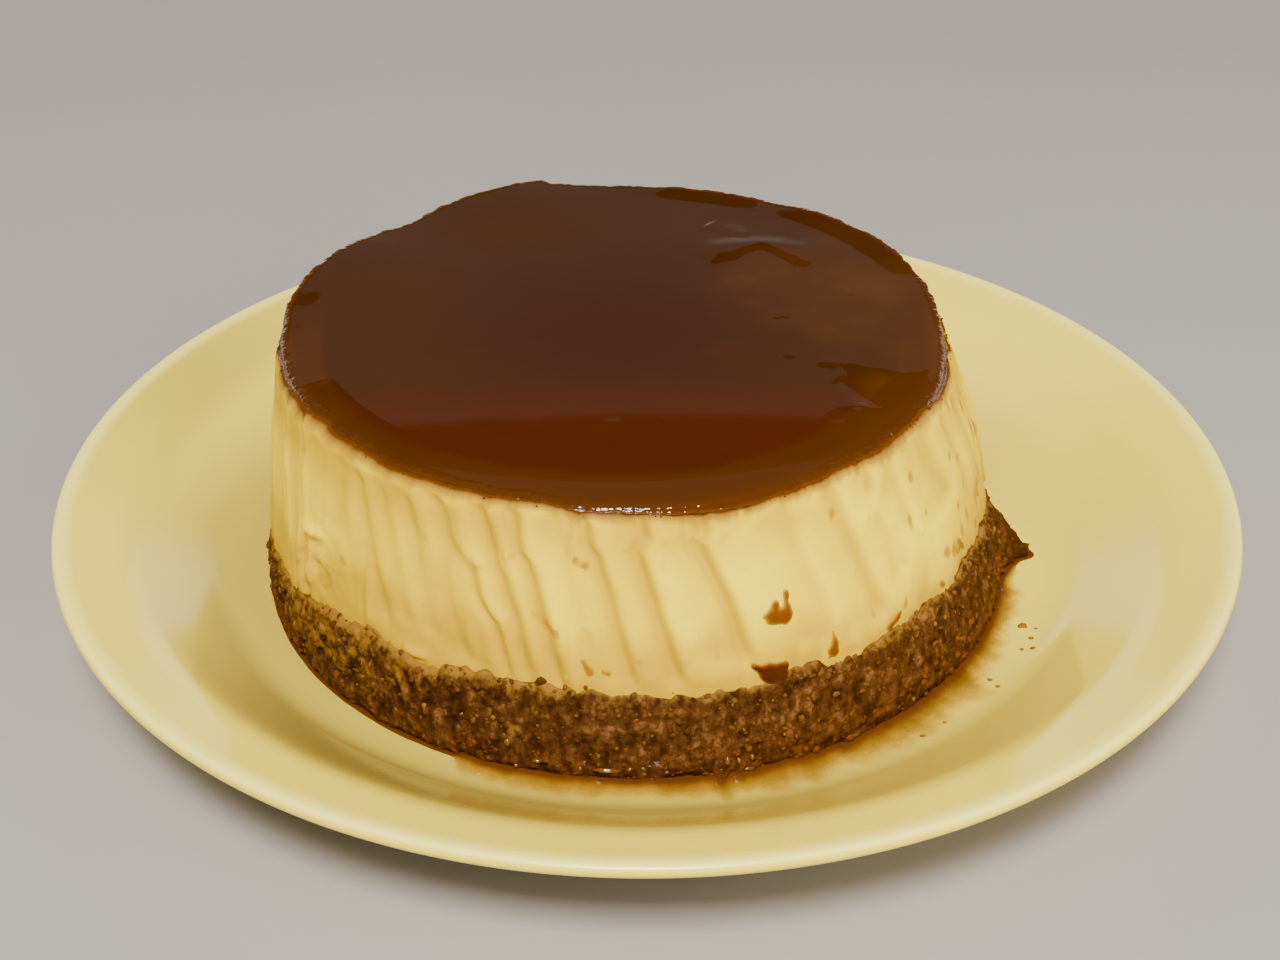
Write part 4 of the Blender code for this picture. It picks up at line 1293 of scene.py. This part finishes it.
def sponge_finish(settings):
    """Brown crumb, painted darker in its pores and hollows and lighter on its lumps, golden next to the
    custard and glossy where syrup wets it.
    """
    look = Finish("brown_sponge")
    raised, wet, pale = look.mask("raised"), look.mask("wet"), look.mask("pale")
    fine = look.grain(1500, 2)
    medium = look.grain(560, 3, (1, 1, 0.65))
    coarse = look.grain(210, 2)
    # Painted shade and highlight: the relief makes the crumb darker in its hollows and lighter on its lumps.
    level = raised.between(-0.9, 0.7) * 0.45 + (fine - 0.5) * 0.7
    level = level + (medium - 0.5) * 1.9 + (coarse - 0.5) * 0.9
    pore, crumb, golden = tuple(settings.pore), tuple(settings.crumb), tuple(settings.golden)
    # Painted highlight on the raised crumb, which the random mottle also reaches.
    light = (2.7 * crumb[0], 3.3 * crumb[1], 4.6 * crumb[2])
    body = level.between(-0.2, 0.45).pick(pore, crumb)
    body = (level.between(0.35, 1.0) * (1 - 0.65 * wet)).pick(body, light)
    mottle = (medium - 0.5) * 1.1 + (coarse - 0.5) * 0.9 + (fine - 0.5) * 0.5
    body = (pale + mottle * pale.between(0.0, 0.3)).between(0.15, 0.95).pick(body, golden)
    damp = tuple(settings.wet)
    # Painted sheen: lighter, greyer wet crumb where the level is high.
    painted_wet_sheen = (1.7 * damp[0], 2.2 * damp[1], 5 * damp[2])
    soaked = level.between(-0.2, 1.0).pick(tuple(0.45 * c for c in damp), painted_wet_sheen)
    body = (wet * 0.85).pick(body, soaked)
    body = (look.mask("lump") * 0.7).pick(body, tuple(0.5 * c for c in damp))
    facing = 1 - look.node("LayerWeight", {}, {"Blend": 0.5}, output=1).between(0.4, 0.75)
    glitter = look.grain(850, 1).between(0.62, 0.68) * wet.between(0.1, 0.6) * facing
    return look.done(
        Base_Color=body,
        Roughness=0.75 - 0.1 * wet,
        Coat_Weight=glitter,
        Coat_Roughness=0.08,
        Normal=look.bump(fine + 0.8 * medium, 0.11 * MM, 0.7),
        Subsurface_Weight=0.2,
        **CRUMB_BODY,
    )


def sponge_wet(bearing, down):
    """How wet the crumb is: from the foot up, further up on the right, and in the clumps."""
    reach = 0.42 + 0.2 * bell(bearing, -30, 40)
    ragged = down + 0.14 * flat_noise(bearing * BASE_RADIUS, down * SPONGE_HEIGHT, 5 * MM, 101, 2)
    return np.maximum(smooth(ragged, 1 - reach, 1 - 0.3 * reach), smooth(clump(bearing, down), 0, 2 * MM))


def sponge_masks(bearing, down):
    """Where the crumb is pale and where it stands out in a clump.

    A pale band below the custard falls off as exp(-d / width), wider on the left,
    and ragged patches come under it. The crumb is paler at the left too, and round
    the back as painted fill light, where less light falls.
    """
    left = bell(bearing, -140, 30)
    band = (1.3 + 1.5 * left) * MM * (1 + 0.5 * flat_noise(bearing * JOIN_RADIUS, 0 * down, 4 * MM, 102, 2))
    patches = flat_noise(bearing * JOIN_RADIUS, down * SPONGE_HEIGHT, 2.6 * MM, 103, 2)
    patches = smooth(patches, 0.3 - 0.8 * left, 1.0) * (1 - smooth(down, 0.4, 0.85))
    pale = np.exp(-down * SPONGE_HEIGHT / band) * (0.62 + 0.3 * left) + (0.15 + 0.4 * left) * patches
    return {
        # Round the back, the paler crumb is painted fill light.
        "pale": pale + 0.2 * left + 0.16 * rear_mask(bearing),
        "lump": smooth(clump(bearing, down), 0.6 * MM, 3 * MM),
    }


class FLAN_OT_sponge(bpy.types.Operator):
    """Add the sponge layer, with its lumps and pores"""
    bl_idname = "flan.sponge"
    bl_label = "Sponge"

    def execute(self, context):
        settings = context.scene.flan_sponge
        bearing, down = np.broadcast_arrays(round_steps(1540), np.linspace(1, 0, 58)[:, None])
        points, relief = sponge_side(bearing, down)
        inside = JOIN_HEIGHT - 2 * MM
        bottom = [polar(BASE_CENTRE, bearing[0], part * BASE_RADIUS, BASE_HEIGHT) for part in (0.4, 0.93)]
        top = [polar(JOIN_CENTRE, bearing[0], 0.97 * JOIN_RADIUS, join_height(bearing[0]) + 0.1 * MM),
               polar(JOIN_CENTRE, bearing[0], 0.5 * JOIN_RADIUS, inside)]
        mesh = grid_mesh(
            "sponge_layer", np.concatenate([bottom, points, top]),
            low_pole=(*BASE_CENTRE, BASE_HEIGHT), high_pole=(*JOIN_CENTRE, inside))
        rows = (len(bottom), len(top))
        paint(mesh, rows, raised=relief, **sponge_masks(bearing, down))
        paint(mesh, rows, 1, wet=sponge_wet(bearing, down))
        add_piece(mesh, sponge_finish(settings), "sponge", "sponge")
        return {"FINISHED"}


def pebbles(name, centres, sizes, turns, seed):
    """A mesh of many small rounded lumps.

    Each is a sphere of a few columns and rows of points and 2 poles, swollen
    unevenly by noise, stretched by its sizes and turned.
    """
    around = round_steps(PEBBLE_COLUMNS)[0]
    up = (np.arange(PEBBLE_ROWS) + 1)[:, None] * math.pi / (PEBBLE_ROWS + 1)
    side = points_at(np.sin(up) * np.cos(around), np.sin(up) * np.sin(around), -np.cos(up)).reshape(-1, 3)
    unit = np.concatenate([side, [(0, 0, -1), (0, 0, 1)]])
    number = np.arange(len(centres))[:, None, None]
    swell = 1 + 0.28 * noise(unit[None] + number * 3.7, 0.9, seed)
    shapes = np.einsum("nij,nkj->nki", turns, unit[None] * swell[..., None] * sizes[:, None, :])
    south, north = PEBBLE_POINTS - 2, PEBBLE_POINTS - 1
    index = np.arange(south).reshape(PEBBLE_ROWS, PEBBLE_COLUMNS)
    closed = np.concatenate([index, index[:, :1]], 1)
    first, last = closed[0], closed[-1]
    caps = np.concatenate([
        np.stack([first[1:], first[:-1], np.full(PEBBLE_COLUMNS, south)], -1),
        np.stack([last[:-1], last[1:], np.full(PEBBLE_COLUMNS, north)], -1)])
    step = number * PEBBLE_POINTS
    vertices = (centres[:, None, :] + shapes).reshape(-1, 3)
    return fill_mesh(name, vertices, (quads_of(closed) + step).reshape(-1, 4), (caps + step).reshape(-1, 3))


def random_turns(count, draw):
    """Random rotation matrices, from unit quaternions."""
    q = draw.normal(size=(count, 4))
    a, b, c, d = (q / np.linalg.norm(q, axis=1)[:, None]).T
    return np.stack([
        np.stack([1 - 2 * (c * c + d * d), 2 * (b * c - a * d), 2 * (b * d + a * c)], -1),
        np.stack([2 * (b * c + a * d), 1 - 2 * (b * b + d * d), 2 * (c * d - a * b)], -1),
        np.stack([2 * (b * d - a * c), 2 * (c * d + a * b), 1 - 2 * (b * b + c * c)], -1)], -2)


def crumb_finish(settings):
    """Crumb from brown to golden by its tone, darker and glossier where it is wet."""
    look = Finish("loose_crumb")
    tone, wet = look.mask("tone"), look.mask("wet")
    fine = look.grain(1100, 2)
    crumb, golden = tuple(settings.crumb), tuple(settings.golden)
    level = tone + (fine - 0.5) * 0.5
    light = (1.9 * crumb[0], 2.15 * crumb[1], 2 * crumb[2])
    body = level.between(0.0, 0.5).pick(tuple(0.8 * c for c in crumb), light)
    body = level.between(0.55, 1.0).pick(body, golden)
    body = (wet * 0.85).pick(body, tuple(1.6 * c for c in settings.wet))
    return look.done(
        Base_Color=body,
        Roughness=0.62 - 0.3 * wet,
        Normal=look.bump(fine, 0.08 * MM, 0.7),
        Subsurface_Weight=0.25,
        **CRUMB_BODY,
    )


def loose_crumbs(count, draw):
    """Crumbs that stick to the sponge's side, most of them low down and a few along the join."""
    bearing = draw.uniform(-math.pi, math.pi, count)
    down = draw.beta(0.95, 1.0, count)
    at_join = draw.uniform(size=count) < 0.05
    down = np.where(at_join, draw.normal(0.03, 0.035, count).clip(-0.03, 0.12), down)
    spots, _ = sponge_side(bearing, down)
    size = np.clip(np.exp(draw.normal(-0.6, 0.4, count)), 0.25, 1.1) * MM
    spots = spots - outward(bearing) * size[:, None] * 0.45
    spots[:, 2] = np.maximum(spots[:, 2], FLOOR_HEIGHT + 0.5 * size)
    sizes = size[:, None] * draw.uniform(0.6, 1.2, (count, 3))
    tone = np.where(at_join, draw.beta(4.0, 3.0, count), draw.beta(1.5, 3.4, count))
    wet = sponge_wet(bearing, down)
    mesh = pebbles("sponge_crumbs", spots, sizes, random_turns(count, draw), 111)
    paint(mesh, tone=np.repeat(tone, PEBBLE_POINTS), wet=np.repeat(wet, PEBBLE_POINTS))
    return mesh


def plate_specks(draw):
    """Flat specks that lie on the plate's floor and on the bend of its well."""
    x, y, size = np.array(SPECKS).T * MM
    spots = points_at(x, y, FLOOR_HEIGHT + 0.05 * MM + well_rise(np.hypot(x, y)))
    sizes = size[:, None] * np.array([(0.85, 0.68, 0.255)])
    unturned = np.repeat(np.eye(3)[None], len(SPECKS), 0)
    mesh = pebbles("plate_specks", spots, sizes, unturned, 113)
    paint(mesh, tone=np.repeat(draw.uniform(0.75, 1.0, len(SPECKS)), PEBBLE_POINTS), wet=0.0)
    return mesh


class FLAN_OT_crumbs(bpy.types.Operator):
    """Add the crumbs that stick to the sponge and the specks that lie on the plate"""
    bl_idname = "flan.crumbs"
    bl_label = "Crumbs"

    def execute(self, context):
        settings = context.scene.flan_sponge
        draw = np.random.default_rng(7)
        for mesh in (loose_crumbs(settings.loose, draw), plate_specks(draw)):
            add_piece(mesh, crumb_finish(settings), "sponge")
        return {"FINISHED"}


# ---------------------------------------------------------------- syrup and drops

def syrup_finish(settings):
    """Clear syrup that grows darker and less clear with its depth."""
    look = Finish("amber_syrup")
    depth = look.mask("depth")
    blot = look.grain(190, 4, (1, 1, 1), 0.6)
    deep, thin = tuple(settings.deep), tuple(settings.thin)
    level = depth + 3.0 * (blot - 0.5) * (depth * (1 - depth))
    return look.done(
        Base_Color=level.between(0.3, 1.0).pick(thin, deep),
        Roughness=0.07,
        Alpha=level.between(0.0, 1.0) * 0.95,
        IOR=1.35,
    )


def syrup_surface(bead):
    """Lower and upper points of the syrup from its inner to its outer edge, and how deep it looks.

    The outer edge follows its table, made uneven by noise, and goes round the clumps.
    The syrup is a film that thins outwards as 1 - t^3, with a bead against the sponge
    that falls off as exp(-d / 1.4 mm) and is missing where the table gives no width.
    """
    bearing, part = np.broadcast_arrays(round_steps(1200), (np.linspace(0, 1, 30) ** 1.1)[:, None])
    around = outward(bearing) * BASE_RADIUS
    foot = BASE_RADIUS + clump(bearing, np.ones_like(bearing))
    edge = round_table(bearing, SYRUP_EDGE, MM) - BASE_RADIUS
    run_out = smooth(edge, 0, 1.2 * MM)
    width = (1.5 * edge + 3.5 * MM) * run_out + 0.4 * MM
    width = width * (1 + 0.15 * noise(around, 7 * MM, 121) + 0.22 * noise(around, 2.8 * MM, 122))
    inner, start = foot - 2.0 * MM, foot + 0.4 * MM
    outer = np.maximum(BASE_RADIUS + width, foot + 0.9 * MM * run_out - 0.2 * MM)
    radius = inner + part * (outer - inner)
    beyond = np.clip(radius - start, 0, None)
    film = 0.08 * MM * (1 - part ** 3)
    stand = bead * (1 + 0.5 * noise(around, 5 * MM, 123) + 0.3 * noise(around, 1.7 * MM, 124))
    rise = film + stand * np.exp(-beyond / (1.4 * MM)) * smooth(edge, -0.3 * MM, 0.8 * MM)
    top = polar(BASE_CENTRE, bearing, radius, FLOOR_HEIGHT + 0.03 * MM + rise)
    bottom = polar(BASE_CENTRE, bearing, radius, FLOOR_HEIGHT + 0.02 * MM)
    for side in (top, bottom):
        side[..., 2] += well_rise(np.hypot(side[..., 0], side[..., 1]))
    depth = np.clip(1 - beyond / np.maximum(outer - start, 0.5 * MM), 0, 1)
    return bottom, top, depth ** (1.3 + 0.8 * bell(bearing, -35, 22))


class FLAN_OT_syrup(bpy.types.Operator):
    """Add the syrup that has run out round the foot"""
    bl_idname = "flan.syrup"
    bl_label = "Syrup"

    def execute(self, context):
        settings = context.scene.flan_syrup
        bottom, top, depth = syrup_surface(settings.bead)
        mesh = grid_mesh("syrup", np.concatenate([bottom, top[::-1]]), wrap_rows=True)
        paint(mesh, depth=np.concatenate([depth, depth[::-1]]))
        add_piece(mesh, syrup_finish(settings), "syrup", "syrup_pool")
        return {"FINISHED"}


def drop_finish():
    """Caramel from pale amber where it is thin to dark brown, fading out at its edge."""
    look = Finish("caramel_drop")
    level = look.mask("thick") + 0.12 * (look.grain(700, 2) - 0.5)
    return look.done(
        Base_Color=look.node("ValToRGB", {"stops": DROP_TONES}, {0: level}),
        Roughness=0.13,
        Alpha=level.between(0.0, 0.16),
        IOR=1.38,
        Specular_IOR_Level=0.2,
    )


def bead_finish(settings):
    """Clear dark syrup with a hard shine."""
    look = Finish("wet_bead")
    level = look.mask("thick") + 0.3 * (look.grain(900, 2) - 0.5)
    return look.done(
        Base_Color=level.pick(tuple(settings.thin_bead), tuple(settings.deep_bead)),
        Roughness=0.05,
        Coat_Weight=1.0,
        Coat_Roughness=0.04,
        IOR=1.45,
    )


def drop_patch(middle, up, thick, dark, strokes, number):
    """A drop on the custard's side, as a grid of points that lie below the face outside of it.

    Its outline joins strokes of changing width smoothly (the log of a sum of
    exponentials of their depths) and is made ragged; inside, its height rises as
    1 - exp(-depth / 0.45 mm). Gives points and how dark they are.
    """
    margin, step, blend, rounding = 0.8, 0.13, 0.28, 0.45
    ends = np.array([end for stroke in strokes for end in stroke])
    low = (ends[:, :2] - ends[:, 2:]).min(0) - margin
    high = (ends[:, :2] + ends[:, 2:]).max(0) + margin
    u, v = np.meshgrid(*(np.linspace(a, b, int((b - a) / step) + 2) for a, b in zip(low, high)))
    total = 0.0
    for (x0, y0, r0), (x1, y1, r1) in strokes:
        t = np.clip(((u - x0) * (x1 - x0) + (v - y0) * (y1 - y0)) / ((x1 - x0) ** 2 + (y1 - y0) ** 2), 0, 1)
        inside = r0 + t * (r1 - r0) - np.hypot(u - x0 - t * (x1 - x0), v - y0 - t * (y1 - y0))
        total = total + np.exp(inside / blend)
    at = points_at(u, v, 7.3 * number)
    depth = blend * np.log(total) + 0.22 * noise(at, 1.3, 131) + 0.08 * noise(at, 0.5, 132)
    swell = np.where(depth > 0, 1 - np.exp(-np.clip(depth, 0, None) / rounding), 0)
    height = (up + v) * MM
    bearing = math.radians(middle) + u * MM / JOIN_RADIUS
    base, _ = custard_side(bearing, np.maximum(height, 26.5 * MM))
    base[..., 2] = height
    lift = thick * swell + 0.1 * smooth(depth, -0.1, 0.1) - 0.5 * (1 - smooth(depth, -0.5, 0.05))
    points = base + outward(bearing) * (lift * MM)[..., None]
    return points, np.where(depth > 0, 0.06 + dark * swell, 0)


def caramel_drops():
    """The drops of the table, as one mesh."""
    vertices, quads, thick, start = [], [], [], 0
    for number, (middle, up, high, dark, *strokes) in enumerate(DROPS):
        points, level = drop_patch(middle, up, high, dark, strokes, number)
        quads.append(quads_of(start + np.arange(level.size).reshape(level.shape)))
        vertices.append(points.reshape(-1, 3))
        thick.append(level.ravel())
        start += level.size
    mesh = fill_mesh("caramel_drops", np.concatenate(vertices), np.concatenate(quads))
    paint(mesh, thick=np.concatenate(thick))
    return mesh


def edge_beads(count=170):
    """Small beads of caramel along the cap's lower edge, smaller at the front."""
    draw = np.random.default_rng(9)
    bearing = draw.uniform(-math.pi, math.pi, count)
    size = np.exp(draw.normal(-1.35, 0.35, count)) * MM * (1 - 0.5 * cap_front(bearing))
    height = cap_edge(bearing) + draw.uniform(-0.5, 0.1, count) * MM
    spots = polar(TOP_CENTRE, bearing, TOP_RADIUS + shoulder(bearing, height), height)
    sizes = size[:, None] * draw.uniform(0.7, 1.3, (count, 3))
    mesh = pebbles("edge_beads", spots, sizes, random_turns(count, draw), 141)
    paint(mesh, thick=np.full(len(mesh.vertices), 0.9))
    return mesh


def foot_beads():
    """The beads of syrup at the sponge's foot: each lies along the sponge's side and stands out a little."""
    degrees, *lengths = np.array(FOOT_BEADS).T
    bearing, (height, wide, tall) = np.radians(degrees), np.array(lengths) * MM
    top = join_height(bearing)
    spots, _ = sponge_side(bearing, (height - top) / (BASE_HEIGHT - top))
    along, out = outward(bearing + TURN / 4), outward(bearing)
    turns = np.stack([along, out, np.broadcast_to((0.0, 0.0, 1.0), out.shape)], -1)
    sizes = np.stack([wide, 0.9 * tall, tall], -1)
    mesh = pebbles("foot_beads", spots + 0.2 * tall[:, None] * out, sizes, turns, 143)
    paint(mesh, thick=np.full(len(mesh.vertices), 0.8))
    return mesh


class FLAN_OT_drops(bpy.types.Operator):
    """Add the drops on the custard, the beads along the caramel's edge and those at the sponge's foot"""
    bl_idname = "flan.drops"
    bl_label = "Drops"

    def execute(self, context):
        finish = drop_finish()
        for mesh in (caramel_drops(), edge_beads()):
            add_piece(mesh, finish, "caramel")
        add_piece(foot_beads(), bead_finish(context.scene.flan_syrup), "syrup")
        return {"FINISHED"}


# ---------------------------------------------------------------- stage

def add_floor(material):
    """A flat square, seen from above, that reaches far past the picture."""
    corners = [(x * FLOOR_HALF, y * FLOOR_HALF, 0) for x, y in ((-1, -1), (1, -1), (1, 1), (-1, 1))]
    mesh = bpy.data.meshes.new("floor")
    mesh.from_pydata(corners, [], [(0, 1, 2, 3)])
    mesh.materials.append(material)
    made = bpy.data.objects.new("floor", mesh)
    bpy.context.scene.collection.objects.link(made)


def soft_light(name, place, wide, tall, watts, tint, mirrored=True):
    """A soft light of a width and a height, turned to the cake; glossy faces need not mirror it."""
    lamp = bpy.data.lights.new(name, "AREA")
    lamp.shape, lamp.size, lamp.size_y, lamp.energy, lamp.color = "RECTANGLE", wide, tall, watts, tint
    made = bpy.data.objects.new(name, lamp)
    made.location = place
    made.rotation_mode = "QUATERNION"
    made.rotation_quaternion = (Vector(CAKE_MIDDLE) - Vector(place)).to_track_quat("-Z", "Y")
    made.visible_glossy = mirrored
    bpy.context.scene.collection.objects.link(made)


def set_camera():
    """The camera stands in front of the plate and looks down on it."""
    lens = bpy.data.cameras.new("camera")
    lens.sensor_width = FILM_WIDTH
    lens.lens = FOCAL_LENGTH / PICTURE_WIDTH * FILM_WIDTH
    lens.clip_start = 0.01
    yaw, pitch, roll = (math.radians(angle) for angle in CAMERA_ANGLES)
    ahead = Vector((math.sin(yaw) * math.cos(pitch), math.cos(yaw) * math.cos(pitch), -math.sin(pitch)))
    right = Vector((math.cos(yaw), -math.sin(yaw), 0.0))
    up = right.cross(ahead)
    across, above = (
        math.cos(roll) * right + math.sin(roll) * up,
        math.cos(roll) * up - math.sin(roll) * right,
    )
    camera = bpy.data.objects.new("camera", lens)
    camera.matrix_world = Matrix((across, above, -ahead)).transposed().to_4x4()
    camera.location = CAMERA_PLACE
    bpy.context.scene.collection.objects.link(camera)
    bpy.context.scene.camera = camera


def floor_finish(tint):
    """A plain pale floor with faint clouds in it."""
    look = Finish("pale_floor")
    cloud = look.grain(6, 3)
    return look.done(
        Base_Color=(cloud.between(0.3, 0.8) * 0.5).pick(tint, tuple(0.93 * c for c in tint)),
        Roughness=0.5,
        Specular_IOR_Level=0.3,
    )


def set_world(wall):
    """Light from all round: a bright low wall behind, a faint shelf over it, a dark gap, soft overhead."""
    world = bpy.context.scene.world or bpy.data.worlds.new("world")
    bpy.context.scene.world = world
    world.use_nodes = True
    sky = Wire(world.node_tree, None)
    direction = sky.node("TexCoord", output=0)
    up = sky.node("SeparateXYZ", sockets={0: direction}, output=2)
    rear = sky.node("SeparateXYZ", sockets={0: direction}, output=1).between(-0.35, 0.25)
    low = (1 - up.between(0.20, 0.38)) * (0.06 + 0.94 * rear)
    shelf, overhead = 1 - up.between(0.504, 0.508), up.between(0.70, 0.725)
    background = world.node_tree.nodes["Background"]
    sky.feed(background.inputs["Color"], low.pick((1.0, 1.0, 1.0), (1.0, 0.93, 0.66)))
    sky.feed(background.inputs["Strength"], 0.015 + wall * low + 0.20 * shelf + 0.25 * overhead)


class FLAN_OT_stage(bpy.types.Operator):
    """Set the floor, the lights and the camera"""
    bl_idname = "flan.stage"
    bl_label = "Stage"

    def execute(self, context):
        settings = context.scene.flan_stage
        warm = (1.0, 0.98, 0.95)
        add_floor(floor_finish(tuple(settings.floor)))
        soft_light("key", (-0.05, -0.90, 1.30), 0.45, 0.40, settings.key_power, warm)
        soft_light("side", (1.20, -1.10, 0.80), 1.0, 1.0, settings.side_power, warm, mirrored=False)
        set_world(settings.wall)
        set_camera()
        return {"FINISHED"}


# ---------------------------------------------------------------- panel and registration

STEPS = (FLAN_OT_plate, FLAN_OT_sponge, FLAN_OT_crumbs, FLAN_OT_custard, FLAN_OT_caramel,
         FLAN_OT_syrup, FLAN_OT_drops, FLAN_OT_stage)
SETTINGS = {
    "flan_plate": PlateSettings, "flan_custard": CustardSettings, "flan_caramel": CaramelSettings,
    "flan_sponge": SpongeSettings, "flan_syrup": SyrupSettings, "flan_stage": StageSettings,
}


class FLAN_PT_pieces(bpy.types.Panel):
    """Lists the pieces of the flan cake and their settings"""
    bl_label = "Flan cake"
    bl_idname = "FLAN_PT_pieces"
    bl_space_type = "VIEW_3D"
    bl_region_type = "UI"
    bl_category = "Flan"

    def draw(self, context):
        for step in STEPS:
            self.layout.operator(step.bl_idname)
        for name in SETTINGS:
            group = getattr(context.scene, name)
            box = self.layout.box()
            for setting in group.__annotations__:
                box.prop(group, setting)


def register():
    for kind in (*SETTINGS.values(), *STEPS, FLAN_PT_pieces):
        bpy.utils.register_class(kind)
    for name, kind in SETTINGS.items():
        setattr(bpy.types.Scene, name, bpy.props.PointerProperty(type=kind))


def unregister():
    for name in SETTINGS:
        delattr(bpy.types.Scene, name)
    for kind in reversed((*SETTINGS.values(), *STEPS, FLAN_PT_pieces)):
        bpy.utils.unregister_class(kind)


def main():
    register()
    for step in STEPS:
        group, name = step.bl_idname.split(".")
        getattr(getattr(bpy.ops, group), name)()


if __name__ == "__main__":
    main()
